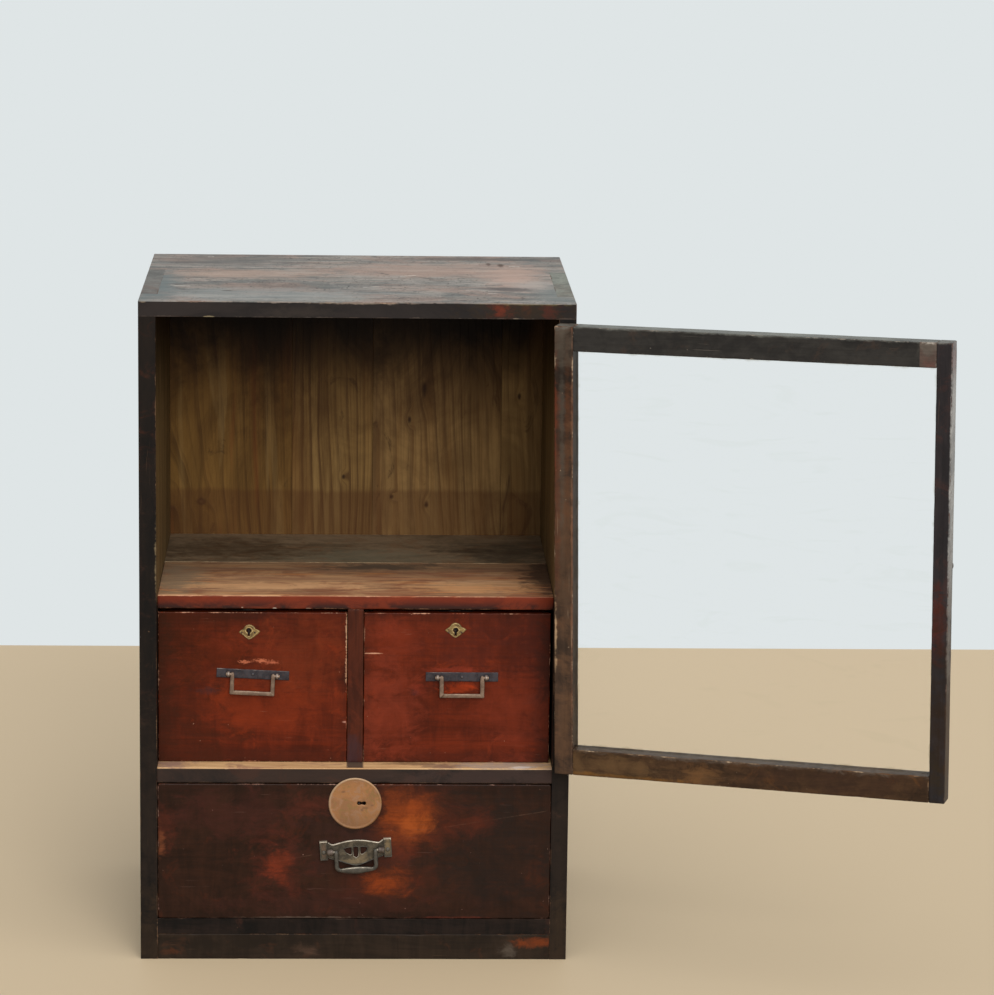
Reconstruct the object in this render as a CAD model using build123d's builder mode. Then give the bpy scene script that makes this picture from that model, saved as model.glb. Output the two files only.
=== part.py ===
from build123d import *
import os
from math import cos, radians, sin

# A kitchen cabinet: a glazed door over a shelf, two small drawers and one large drawer. The small drawers are
# recessed, so the glazed door closes in front of them as well. Millimetres, +X to the right seen from the front,
# +Y into the case, +Z up. The origin is the middle of the plinth's bottom front edge, on the ground.
# The door stands open and everything else is shut.

os.makedirs("parts", exist_ok=True)

# Case
case_width = 455
case_depth = 352
case_height = 711
side_thickness = 18
top_thickness = 16.5
arris = 1.0
housing_depth = 6
stop_depth = 8
finger_front = 48
finger_back = 228

half_width = case_width / 2
inner_half = half_width - side_thickness
side_center = half_width - side_thickness / 2
housed_half = inner_half + housing_depth
ceiling = case_height - top_thickness

# Boards of the case, by their undersides and thicknesses
plinth_thickness = 18
floor_bottom = 28
floor_thickness = 17
rail_bottom = 195
rail_thickness = 16.5
rail_depth = 40
shelf_bottom = 379
shelf_thickness = 14.5
recess = 24
shelf_seam = 189
seam_gap = 0.4
floor_top = floor_bottom + floor_thickness
rail_top = rail_bottom + rail_thickness
shelf_top = shelf_bottom + shelf_thickness

# Divider between the small drawers
stile_width = 17
stile_depth = 20
tenon_width = 6
tenon_front = 28
tenon_back = 38
tenon_length = 5
partition_thickness = 9
partition_groove = 4

# Back, half-lapped boards in a rabbet
back_inner = 338
back_thickness = 12
back_outer = back_inner + back_thickness
rabbet = 8
back_bottom = 20
back_top = ceiling + rabbet
back_half = inner_half + rabbet
lap = 6
lap_gap = 0.2
back_seams = (-back_half, -72.4, 18.6, 163.6, back_half)
nail_r = 0.9
nail_hole_r = 0.95
nail_head_r = 2.5
nail_head = 1.0
nail_depth = 10
board_nails = ((-190, -100), (-45, 0), (45, 140), (190,))
nail_rows = (
    floor_bottom + floor_thickness / 2,
    rail_bottom + rail_thickness / 2,
    shelf_bottom + shelf_thickness / 2,
    ceiling + rabbet / 2,
)
side_nails = (110, 290, 470, 620)

# Door
door_hinge_x = 209
door_width = 417.2
door_height = 477.6
door_thickness = 22
door_front = 0.5
door_bottom = 214.2
hinge_stile_width = 20
free_stile_width = 16.5
free_stile_chamfer = 3
top_rail_height = 26
bottom_rail_height = 27.6
door_arris = 0.8
inner_arris = 1.0
door_tenon = 12
door_tenon_thickness = 7
door_tenon_z = 7.5
door_tenon_inset = 3
glass_groove = 4
glass_groove_width = 2.5
glass_groove_z = 8
glass_thickness = 2
glass_edge = 3.5
mortise_shoulder = 0.8
knob_from_edge = 8
knob_y = 243
knob_r = 6.5
knob_length = 16
spigot_r = 2
spigot_hole_r = 2.05
spigot_length = 12

# Hinge pins. The pin line leans a little, so the free end of the door rises as it opens.
pin_point = Vector(212.1, -2.75, 452.5)
pin_direction = Vector(-0.0084, 0.0014, 1).normalized()
open_angle = 160.5
hinge_from_end = 100
hinge_height = 38
knuckle_gap = 0.2
knuckle = (hinge_height - 2 * knuckle_gap) / 3
barrel_r = 2.2
pin_r = 1.1
pin_head_r = 1.6
pin_head = 0.8
case_bore_r = 1.12
door_bore_r = 1.15
leaf_thickness = 1.2
leaf_notch = 2.1
case_leaf_edge = 225
door_leaf_width = 17.5
web_half = 1.0
screw_head_r = 2.2
screw_r = 1.0
screw_clearance = 0.05
screw_length = 10
case_screw_x = 220
case_screw_z = 12
door_screw_z = 9
door_screw_y = 11

# Drawers
small_drawer_bottom = 212
small_drawer_top = 375
small_front_thickness = 16
board = 9
drawer_back_end = 337.6
bottom_thickness = 6
small_rebate = 10
small_side_top = 366
small_back_top = 360
large_front_y = -0.4
large_half = 208.8
large_bottom = 45.6
large_top = 194
large_front_back = 18
large_board = 10
large_rebate_y = 7
large_side_top = 186
large_back_top = 180
large_bottom_thickness = 6.4
large_corner_r = 2.5
front_arris = 1.2

# Locks. The bolts slide up, the small ones into the shelf and the large one into the middle rail.
small_lock_width = 36
small_lock_height = 26
lock_depth = 8
small_bolt = (12, 3.5, 22)
small_bolt_inset = 2
small_bolt_bottom = 352.5
bolt_clearance = 0.15
bolt_mortise_room = 2
bolt_mortise_depth = 7
keyhole_r = 2.6
keyhole_slot = (2.4, 6.2)
keyhole_blind = 1.2
large_lock_width = 40
large_lock_bottom = 160
large_lock_depth = 9
large_bolt = (14, 4, 24)
large_bolt_inset = 2.5
large_bolt_bottom = 169
large_mortise_depth = 8
large_lock_y = large_front_back - large_lock_depth
large_bolt_y = large_lock_y + large_bolt_inset + large_bolt[1] / 2
lock_plate_r = 28.25
lock_plate_x = 0.5
lock_plate_z = 172.9
lock_plate_thickness = 1.2
large_key_x = 7.4
large_key_z = 173.3
key_lobe = 2.6
key_r = 2.1
key_neck = 2.0
post_r = 0.8
post_end = 0.6

# Small pulls, in their own plane: X along the plate, Y up, Z out of the drawer front
plate_length = 77
plate_height = 10
plate_thickness = 1.5
eye_x = 25.8
eye_z = 5.5
eye_r = 3.2
eye_bore_r = 1.65
eye_width = 3
shank_r = 1.2
shank_hole_r = 1.25
clinch_r = 2.6
clinch = 1.2
bail_outer = 24
bail_bar = 4.8
bail_depth = 3.5
bail_drop = 22
bail_pin_r = 1.5
bail_pin_end = 28
bail_top = 2.4
bail_corner = 1.6
bail_edge = 0.7
plate_edge = 0.5
shank_reach = 3.4
plate_nail_r = 0.75
plate_nail_hole_r = 0.8
plate_nail_head_r = 1.8
plate_nail_head = 0.8
plate_nail_depth = 9

# Large pull, in its own plane
large_pull_x = 1.5
large_pull_z = 122
large_pull_tilt = 3.4
cast_thickness = 2.2
lug_x = 34
lug_width = 8.2
lug_top = 11.6
lug_bottom = -9
lug_thickness = 4.2
boss_inner = 24.1
boss_r = 3.2
pivot_y = 0.6
pivot_z = 8
large_bail_thickness = 4.6
large_shank_r = 1.8
large_shank_hole_r = 1.85
large_clinch_r = 3.2
large_bail_half = 23.2
large_bail_inner = 18.6
large_bail_outer_corner = 6.5
large_bail_inner_corner = 3
large_bail_edge = 1.4

# Planes. front_plane(y) is a plane parallel to the front at depth y, with X right and Y up.
def front_plane(y):
    return Plane.XZ.offset(-y)


swing = Axis(pin_point, pin_direction)
closed_corner = Vector(door_hinge_x, door_front, door_bottom)
door_corner = pin_point + (closed_corner - pin_point).rotate(swing, open_angle)
door_x = Vector(-1, 0, 0).rotate(swing, open_angle)
door_out = Vector(0, 1, 0).rotate(swing, open_angle)
door_plane = Plane(origin=door_corner, x_dir=door_x, z_dir=door_out)
door_section = Plane(origin=door_corner, x_dir=door_x, z_dir=-door_plane.y_dir)


# Heights of the hinges and places of the case leaves' screws
hinge_levels = {
    "upper": door_bottom + door_height - hinge_from_end,
    "lower": door_bottom + hinge_from_end,
}
case_screws = [
    Plane(origin=(case_screw_x, -leaf_thickness, level + dz), x_dir=(1, 0, 0), z_dir=(0, 1, 0))
    for level in hinge_levels.values()
    for dz in (-case_screw_z, case_screw_z)
]
start = (Align.CENTER, Align.CENTER, Align.MIN)

# Side panels: a board with stopped housings, a rabbet for the back and a finger through the top
for name, sign in (("left_side_panel", -1), ("right_side_panel", 1)):
    with BuildPart() as side_panel:
        with Locations((sign * side_center, case_depth / 2, ceiling / 2)):
            Box(side_thickness, case_depth, ceiling)
        outer_edges = side_panel.faces().sort_by(Axis.X)[0 if sign < 0 else -1].edges().filter_by(Axis.Z)
        fillet(outer_edges, arris)
        finger_middle = (finger_front + finger_back) / 2
        with Locations((sign * side_center, finger_middle, ceiling + top_thickness / 2)):
            Box(side_thickness, finger_back - finger_front, top_thickness)
        finger_edges = side_panel.faces().sort_by(Axis.Z)[-1].edges().filter_by(Axis.Y)
        fillet(finger_edges.sort_by(Axis.X)[0 if sign < 0 else -1], arris)
        housings = (
            (stop_depth, floor_bottom, floor_top),
            (stop_depth, rail_bottom, rail_top),
            (recess, shelf_bottom, shelf_top),
        )
        for housing_front, bottom, top in housings:
            housing = (sign * (inner_half + housing_depth / 2), (housing_front + back_inner) / 2, (bottom + top) / 2)
            with Locations(housing):
                Box(housing_depth, back_inner - housing_front, top - bottom, mode=Mode.SUBTRACT)
        rabbet_center = (sign * (inner_half + rabbet / 2), (back_inner + case_depth) / 2, (back_bottom + ceiling) / 2)
        with Locations(rabbet_center):
            Box(rabbet, case_depth - back_inner, ceiling - back_bottom, mode=Mode.SUBTRACT)
        with BuildSketch(front_plane(back_inner)):
            with Locations(*[(sign * (inner_half + rabbet / 2), z) for z in side_nails]):
                Circle(nail_hole_r)
        extrude(amount=nail_depth, mode=Mode.SUBTRACT)
        if sign > 0:
            with Locations(*case_screws):
                Cylinder(screw_r + screw_clearance, screw_length, align=start, mode=Mode.SUBTRACT)
    side_panel.part.label = name
    export_step(side_panel.part, f"parts/{name}.step")

# Top panel: notched for the fingers, with a rabbet underneath for the back boards
with BuildPart() as top_panel:
    with Locations((0, case_depth / 2, ceiling + top_thickness / 2)):
        Box(case_width, case_depth, top_thickness)
    fillet(top_panel.edges().filter_by(Axis.Z), arris)
    fillet(top_panel.faces().sort_by(Axis.Z)[-1].edges(), arris)
    with Locations(*[(sign * side_center, (finger_front + finger_back) / 2, ceiling + top_thickness / 2)
                     for sign in (-1, 1)]):
        Box(side_thickness, finger_back - finger_front, top_thickness, mode=Mode.SUBTRACT)
    with Locations((0, (back_inner + case_depth) / 2, ceiling + rabbet / 2)):
        Box(2 * back_half, case_depth - back_inner, rabbet, mode=Mode.SUBTRACT)
    with BuildSketch(front_plane(back_inner)):
        with Locations(*[(x, nail_rows[3]) for columns in board_nails for x in columns]):
            Circle(nail_hole_r)
    extrude(amount=nail_depth, mode=Mode.SUBTRACT)
top_panel.part.label = "top_panel"
export_step(top_panel.part, "parts/top_panel.step")

# Plinth board, down to the ground between the sides
with BuildPart() as plinth_board:
    with Locations((0, plinth_thickness / 2, floor_bottom / 2)):
        Box(2 * inner_half, plinth_thickness, floor_bottom)
plinth_board.part.label = "plinth_board"
export_step(plinth_board.part, "parts/plinth_board.step")

# Floor panel: housed in the sides, with a shorter nose that shows at the front
with BuildPart() as floor_panel:
    with BuildSketch(Plane.XY.offset(floor_bottom)):
        with Locations((0, (stop_depth + back_inner) / 2)):
            Rectangle(2 * housed_half, back_inner - stop_depth)
        with Locations((0, stop_depth / 2)):
            Rectangle(2 * inner_half, stop_depth)
    extrude(amount=floor_thickness)
    with BuildSketch(front_plane(back_inner)):
        with Locations(*[(x, nail_rows[0]) for columns in board_nails for x in columns]):
            Circle(nail_hole_r)
    extrude(amount=nail_depth, mode=Mode.SUBTRACT)
floor_panel.part.label = "floor_panel"
export_step(floor_panel.part, "parts/floor_panel.step")

# Middle rail: its top is the bare sill in front of the small drawers
with BuildPart() as middle_rail:
    with BuildSketch(Plane.XY.offset(rail_bottom)):
        with Locations((0, (stop_depth + rail_depth) / 2)):
            Rectangle(2 * housed_half, rail_depth - stop_depth)
        with Locations((0, stop_depth / 2)):
            Rectangle(2 * inner_half, stop_depth)
    extrude(amount=rail_thickness)
    fillet(middle_rail.edges().sort_by_distance((0, 0, rail_top))[0], door_arris)
    with Locations((0, (tenon_front + tenon_back) / 2, rail_top - tenon_length / 2)):
        Box(tenon_width, tenon_back - tenon_front, tenon_length, mode=Mode.SUBTRACT)
    with Locations((0, large_bolt_y, rail_bottom + large_mortise_depth / 2)):
        Box(large_bolt[0] + bolt_mortise_room, large_bolt[1] + bolt_mortise_room, large_mortise_depth,
            mode=Mode.SUBTRACT)
middle_rail.part.label = "middle_rail"
export_step(middle_rail.part, "parts/middle_rail.step")

# Middle board, behind the rail, grooved for the partition
with BuildPart() as middle_board:
    with Locations((0, (rail_depth + back_inner) / 2, rail_bottom + rail_thickness / 2)):
        Box(2 * housed_half, back_inner - rail_depth, rail_thickness)
    groove_front = recess + stile_depth
    with Locations((0, (groove_front + back_inner) / 2, rail_top - partition_groove / 2)):
        Box(partition_thickness, back_inner - groove_front, partition_groove, mode=Mode.SUBTRACT)
    with BuildSketch(front_plane(back_inner)):
        with Locations(*[(x, nail_rows[1]) for columns in board_nails for x in columns]):
            Circle(nail_hole_r)
    extrude(amount=nail_depth, mode=Mode.SUBTRACT)
middle_board.part.label = "middle_board"
export_step(middle_board.part, "parts/middle_board.step")

# Small drawers, from left to right: ends of the front, keyhole, middle of the escutcheon, middle and tilt of the pull
small_drawers = {
    "left": dict(x0=-208.9, x1=-9.1, key=(-113.1, 355.6), plate=(-112.3, 353.75), pull=(-108.7, 308), tilt=-2.5),
    "right": dict(x0=9.1, x1=206.8, key=(106.0, 356.8), plate=(106.05, 356.8), pull=(113.2, 306), tilt=0.0),
}
lock_y = recess + small_front_thickness - lock_depth
bolt_y = lock_y + small_bolt_inset + small_bolt[1] / 2

# Shelf, two boards: the front one takes the small locks' bolts and the divider's tenon
with BuildPart() as shelf_front_board:
    with Locations((0, (recess + shelf_seam) / 2 - seam_gap / 4, shelf_bottom + shelf_thickness / 2)):
        Box(2 * housed_half, shelf_seam - recess - seam_gap / 2, shelf_thickness)
    fillet(shelf_front_board.edges().sort_by_distance((0, recess, shelf_top))[0], door_arris)
    for drawer in small_drawers.values():
        with Locations((drawer["key"][0], bolt_y, shelf_bottom + bolt_mortise_depth / 2)):
            Box(small_bolt[0] + bolt_mortise_room, small_bolt[1] + bolt_mortise_room, bolt_mortise_depth,
                mode=Mode.SUBTRACT)
    with Locations((0, (tenon_front + tenon_back) / 2, shelf_bottom + tenon_length / 2)):
        Box(tenon_width, tenon_back - tenon_front, tenon_length, mode=Mode.SUBTRACT)
    with Locations((0, (groove_front + shelf_seam) / 2, shelf_bottom + partition_groove / 2)):
        Box(partition_thickness, shelf_seam - groove_front, partition_groove, mode=Mode.SUBTRACT)
shelf_front_board.part.label = "shelf_front_board"
export_step(shelf_front_board.part, "parts/shelf_front_board.step")

with BuildPart() as shelf_rear_board:
    with Locations((0, (shelf_seam + back_inner) / 2 + seam_gap / 4, shelf_bottom + shelf_thickness / 2)):
        Box(2 * housed_half, back_inner - shelf_seam - seam_gap / 2, shelf_thickness)
    with Locations((0, (shelf_seam + back_inner) / 2, shelf_bottom + partition_groove / 2)):
        Box(partition_thickness, back_inner - shelf_seam, partition_groove, mode=Mode.SUBTRACT)
    with BuildSketch(front_plane(back_inner)):
        with Locations(*[(x, nail_rows[2]) for columns in board_nails for x in columns]):
            Circle(nail_hole_r)
    extrude(amount=nail_depth, mode=Mode.SUBTRACT)
shelf_rear_board.part.label = "shelf_rear_board"
export_step(shelf_rear_board.part, "parts/shelf_rear_board.step")

# Divider stile, tenoned into the rail and the shelf and grooved for the partition behind it
divider_height = shelf_bottom - rail_top
divider_middle = (shelf_bottom + rail_top) / 2
with BuildPart() as divider_stile:
    with Locations((0, recess + stile_depth / 2, divider_middle)):
        Box(stile_width, stile_depth, divider_height)
    with Locations((0, (tenon_front + tenon_back) / 2, divider_middle)):
        Box(tenon_width, tenon_back - tenon_front, divider_height + 2 * tenon_length)
    with Locations((0, groove_front - partition_groove / 2, divider_middle)):
        Box(partition_thickness, partition_groove, divider_height, mode=Mode.SUBTRACT)
divider_stile.part.label = "divider_stile"
export_step(divider_stile.part, "parts/divider_stile.step")

# Partition between the small drawers
with BuildPart() as partition_panel:
    with Locations((0, (groove_front + back_inner) / 2, divider_middle)):
        Box(partition_thickness, back_inner - groove_front, divider_height + 2 * partition_groove)
    with Locations((0, groove_front - partition_groove / 2, divider_middle)):
        Box(partition_thickness, partition_groove, divider_height)
partition_panel.part.label = "partition_panel"
export_step(partition_panel.part, "parts/partition_panel.step")

# Back boards: the rear half of each board laps over the front half of the next one
for index in range(4):
    left = back_seams[index]
    right = back_seams[index + 1]
    left_gap = 0 if index == 0 else lap_gap
    right_gap = 0 if index == 3 else lap_gap
    left_lap = 0 if index == 0 else lap
    right_lap = 0 if index == 3 else lap
    front_span = (left + left_gap, right - right_gap)
    rear_span = (left + left_gap + left_lap, right - right_gap + right_lap)
    with BuildPart() as back_board:
        with BuildSketch(Plane.XY.offset(back_bottom)):
            with Locations((sum(front_span) / 2, back_inner + back_thickness / 4)):
                Rectangle(front_span[1] - front_span[0], back_thickness / 2)
            with Locations((sum(rear_span) / 2, back_outer - back_thickness / 4)):
                Rectangle(rear_span[1] - rear_span[0], back_thickness / 2)
        extrude(amount=back_top - back_bottom)
        holes = [(x, z) for x in board_nails[index] for z in nail_rows]
        if index == 0:
            holes += [(-inner_half - rabbet / 2, z) for z in side_nails]
        if index == 3:
            holes += [(inner_half + rabbet / 2, z) for z in side_nails]
        with BuildSketch(front_plane(back_outer)):
            with Locations(*holes):
                Circle(nail_hole_r)
        extrude(amount=back_thickness, mode=Mode.SUBTRACT)
    back_board.part.label = f"back_board_{index + 1}"
    export_step(back_board.part, f"parts/back_board_{index + 1}.step")

# Nails of the back boards
nail_points = [(x, z) for columns in board_nails for x in columns for z in nail_rows]
nail_points += [(sign * (inner_half + rabbet / 2), z) for sign in (-1, 1) for z in side_nails]
with BuildPart() as back_nails:
    with BuildSketch(front_plane(back_outer)):
        with Locations(*nail_points):
            Circle(nail_r)
    extrude(amount=back_thickness + nail_depth)
    with BuildSketch(front_plane(back_outer)):
        with Locations(*nail_points):
            Circle(nail_head_r)
    extrude(amount=-nail_head)
back_nails.part.label = "back_nails"
export_step(back_nails.part, "parts/back_nails.step")

# Hinges. Each case leaf lies on the front edge of the right side panel and has the outer two knuckles.
def pin_center(level):
    return pin_point + pin_direction * ((level - pin_point.Z) / pin_direction.Z)


def knuckle_plane(level, rise):
    return Plane(origin=pin_center(level), x_dir=(1, 0, 0), z_dir=pin_direction).offset(rise)


knuckle_starts = (-hinge_height / 2, hinge_height / 2 - knuckle)
for name, level in hinge_levels.items():
    leaf_start = pin_center(level).X
    with BuildPart() as case_leaf:
        with BuildSketch(front_plane(0)):
            with Locations(((leaf_start + case_leaf_edge) / 2, level)):
                Rectangle(case_leaf_edge - leaf_start, hinge_height)
            with Locations((leaf_start + leaf_notch / 2, level)):
                Rectangle(leaf_notch, knuckle + 2 * knuckle_gap, mode=Mode.SUBTRACT)
        extrude(amount=leaf_thickness)
        for rise in knuckle_starts:
            with BuildSketch(knuckle_plane(level, rise)):
                Circle(barrel_r)
            extrude(amount=knuckle)
        with BuildSketch(knuckle_plane(level, -hinge_height / 2 - 1)):
            Circle(case_bore_r)
        extrude(amount=hinge_height + 2, mode=Mode.SUBTRACT)
        leaf_screws = [
            Plane(origin=(case_screw_x, -leaf_thickness, level + dz), x_dir=(1, 0, 0), z_dir=(0, 1, 0))
            for dz in (-case_screw_z, case_screw_z)
        ]
        with Locations(*leaf_screws):
            Cone(screw_head_r + screw_clearance, screw_r + screw_clearance, leaf_thickness,
                 align=start, mode=Mode.SUBTRACT)
    case_leaf.part.label = f"{name}_hinge_case_leaf"
    export_step(case_leaf.part, f"parts/{name}_hinge_case_leaf.step")

with BuildPart() as hinge_pins:
    for level in hinge_levels.values():
        with BuildSketch(knuckle_plane(level, -hinge_height / 2)):
            Circle(pin_r)
        extrude(amount=hinge_height)
        with BuildSketch(knuckle_plane(level, hinge_height / 2)):
            Circle(pin_head_r)
        extrude(amount=pin_head)
hinge_pins.part.label = "hinge_pins"
export_step(hinge_pins.part, "parts/hinge_pins.step")

with BuildPart() as case_hinge_screws:
    with Locations(*case_screws):
        Cone(screw_head_r, screw_r, leaf_thickness, align=start)
        Cylinder(screw_r, screw_length, align=start)
case_hinge_screws.part.label = "case_hinge_screws"
export_step(case_hinge_screws.part, "parts/case_hinge_screws.step")

# Door. Local X runs from the hinge edge to the free edge, Y up, and Z from the outer face to the inner face.
free_stile_x = door_width - free_stile_width
top_rail_y = door_height - top_rail_height
hinge_ys = {name: level - door_bottom for name, level in hinge_levels.items()}
door_screws = [
    Plane(
        origin=door_plane.from_local_coords((0, middle + dy, door_screw_z)),
        x_dir=door_out,
        z_dir=door_x,
    )
    for middle in hinge_ys.values()
    for dy in (-door_screw_y, door_screw_y)
]
mortises = (
    (door_tenon_inset, bottom_rail_height - glass_groove - mortise_shoulder),
    (top_rail_y + glass_groove + mortise_shoulder, door_height - door_tenon_inset),
)
groove_bottom = bottom_rail_height - glass_groove
groove_top = top_rail_y + glass_groove
groove_middle_z = glass_groove_z + glass_groove_width / 2
tenon_middle_z = door_tenon_z + door_tenon_thickness / 2

stile_profiles = (
    ("hinge_stile", 0, hinge_stile_width, hinge_stile_width, -1),
    ("free_stile", free_stile_x, door_width, free_stile_x, 1),
)
for name, stile_start, stile_end, opening_x, inward in stile_profiles:
    with BuildPart() as stile:
        with BuildSketch(door_section) as section:
            with Locations(((stile_start + stile_end) / 2, door_thickness / 2)):
                Rectangle(stile_end - stile_start, door_thickness)
            inner_face = section.vertices().group_by(Axis.Y)[-1].sort_by(Axis.X)
            outer_face = section.vertices().group_by(Axis.Y)[0].sort_by(Axis.X)
            fillet(inner_face[-1 if inward < 0 else 0], inner_arris)
            fillet([inner_face[0 if inward < 0 else -1], outer_face[0], outer_face[-1]], door_arris)
        extrude(amount=-door_height)
        groove_corner = door_plane.from_local_coords((opening_x + inward * glass_groove / 2,
                                                      (groove_bottom + groove_top) / 2, groove_middle_z))
        with Locations(Plane(origin=groove_corner, x_dir=door_x, z_dir=door_out)):
            Box(glass_groove, groove_top - groove_bottom, glass_groove_width, mode=Mode.SUBTRACT)
        for mortise_bottom, mortise_top in mortises:
            mortise_center = door_plane.from_local_coords((opening_x + inward * door_tenon / 2,
                                                           (mortise_bottom + mortise_top) / 2, tenon_middle_z))
            with Locations(Plane(origin=mortise_center, x_dir=door_x, z_dir=door_out)):
                Box(door_tenon, mortise_top - mortise_bottom, door_tenon_thickness, mode=Mode.SUBTRACT)
        if name == "hinge_stile":
            for middle in hinge_ys.values():
                leaf_center = door_plane.from_local_coords((leaf_thickness / 2, middle, door_leaf_width / 2))
                with Locations(Plane(origin=leaf_center, x_dir=door_x, z_dir=door_out)):
                    Box(leaf_thickness, hinge_height, door_leaf_width, mode=Mode.SUBTRACT)
            with Locations(*door_screws):
                Cylinder(screw_r + screw_clearance, screw_length, align=start, mode=Mode.SUBTRACT)
        else:
            lower_corner = door_plane.from_local_coords((door_width, 0, door_thickness / 2))
            chamfer(stile.edges().sort_by_distance(lower_corner)[0], free_stile_chamfer)
            knob_center = door_plane.from_local_coords((door_width - knob_from_edge, knob_y, 0))
            with Locations(Plane(origin=knob_center, x_dir=door_x, z_dir=door_out)):
                Cylinder(spigot_hole_r, spigot_length, align=start, mode=Mode.SUBTRACT)
    stile.part.label = name
    export_step(stile.part, f"parts/{name}.step")

# Rails of the door, with a tenon at each end and a groove for the glass
rail_profiles = (
    ("top_rail", top_rail_y, door_height, mortises[1], top_rail_y, 1),
    ("bottom_rail", 0, bottom_rail_height, mortises[0], bottom_rail_height, -1),
)
rail_middle_x = (hinge_stile_width + free_stile_x) / 2
for name, rail_start, rail_end, mortise, opening_y, inward in rail_profiles:
    with BuildPart(door_plane) as door_rail:
        with Locations((rail_middle_x, (rail_start + rail_end) / 2, door_thickness / 2)):
            Box(free_stile_x - hinge_stile_width, rail_end - rail_start, door_thickness)
        inner_edge = door_plane.from_local_coords((rail_middle_x, opening_y, door_thickness))
        outer_edge = door_plane.from_local_coords((rail_middle_x, opening_y, 0))
        fillet(door_rail.edges().sort_by_distance(inner_edge)[0], inner_arris)
        fillet(door_rail.edges().sort_by_distance(outer_edge)[0], door_arris)
        with Locations((rail_middle_x, sum(mortise) / 2, tenon_middle_z)):
            Box(free_stile_x - hinge_stile_width + 2 * door_tenon, mortise[1] - mortise[0], door_tenon_thickness)
        with Locations((rail_middle_x, opening_y + inward * glass_groove / 2, groove_middle_z)):
            Box(free_stile_x - hinge_stile_width, glass_groove, glass_groove_width, mode=Mode.SUBTRACT)
    door_rail.part.label = name
    export_step(door_rail.part, f"parts/{name}.step")

# Glass pane, loose in the grooves
pane_width = free_stile_x - hinge_stile_width + 2 * glass_edge
pane_height = top_rail_y - bottom_rail_height + 2 * glass_edge
with BuildPart(door_plane) as glass_pane:
    with Locations((rail_middle_x, (top_rail_y + bottom_rail_height) / 2, groove_middle_z)):
        Box(pane_width, pane_height, glass_thickness)
glass_pane.part.label = "glass_pane"
export_step(glass_pane.part, "parts/glass_pane.step")

# Turned knob with a spigot in the free stile
knob_base = door_plane.from_local_coords((door_width - knob_from_edge, knob_y, 0))
knob_plane = Plane(origin=knob_base, x_dir=door_x, z_dir=door_plane.y_dir)
with BuildPart() as door_knob:
    with BuildSketch(knob_plane):
        with BuildLine():
            Polyline((0, -spigot_length), (spigot_r, -spigot_length), (spigot_r, 0), (4.2, 0), (4.2, 1.2), (3.2, 3), (3.2, 6))
            Spline((3.2, 6), (knob_r, 11), (0, knob_length), tangents=((1.2, 1), (-1, 0)))
            Line((0, knob_length), (0, -spigot_length))
        make_face()
    revolve(axis=Axis(knob_base, -door_out))
door_knob.part.label = "door_knob"
export_step(door_knob.part, "parts/door_knob.step")

# Door leaves, let into the hinge stile's edge, each with the middle knuckle
for name, middle in hinge_ys.items():
    level = hinge_levels[name]
    pin_x = door_hinge_x - pin_center(level).X
    pin_z = pin_center(level).Y - door_front
    with BuildPart(door_plane) as door_leaf:
        with Locations((leaf_thickness / 2, middle, door_leaf_width / 2)):
            Box(leaf_thickness, hinge_height, door_leaf_width)
        with Locations((leaf_thickness / 2, middle, (pin_z - web_half) / 2)):
            Box(leaf_thickness, knuckle, web_half - pin_z)
        with Locations(((pin_x + leaf_thickness) / 2, middle, pin_z)):
            Box(leaf_thickness - pin_x, knuckle, 2 * web_half)
        with BuildSketch(knuckle_plane(level, -knuckle / 2)):
            Circle(barrel_r)
        extrude(amount=knuckle)
        with BuildSketch(knuckle_plane(level, -knuckle)):
            Circle(door_bore_r)
        extrude(amount=2 * knuckle, mode=Mode.SUBTRACT)
        with Locations(*[(0, middle + dy, door_screw_z) for dy in (-door_screw_y, door_screw_y)]):
            Cone(screw_head_r + screw_clearance, screw_r + screw_clearance, leaf_thickness,
                 rotation=(0, 90, 0), align=start, mode=Mode.SUBTRACT)
    door_leaf.part.label = f"{name}_hinge_door_leaf"
    export_step(door_leaf.part, f"parts/{name}_hinge_door_leaf.step")

with BuildPart() as door_hinge_screws:
    with Locations(*door_screws):
        Cone(screw_head_r, screw_r, leaf_thickness, align=start)
        Cylinder(screw_r, screw_length, align=start)
door_hinge_screws.part.label = "door_hinge_screws"
export_step(door_hinge_screws.part, "parts/door_hinge_screws.step")

# Small drawers
small_front_back = recess + small_front_thickness
small_rebate_y = small_front_back - small_rebate
small_side_bottom = small_drawer_bottom + bottom_thickness
escutcheon_points = ((-11.3, 0), (-6.6, 4.2), (-0.6, 8), (6.2, 4.2), (11.3, 1.4), (6.6, -4), (-0.4, -8), (-6.6, -4))
escutcheon_dip = 0.9
escutcheon_thickness = 1
tack_offsets = ((-7.5, -2.3), (6.3, -2.3))
tack_r = 0.55
tack_hole_r = 0.6
tack_head_r = 1.0
tack_head = 0.5
tack_depth = 6

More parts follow.
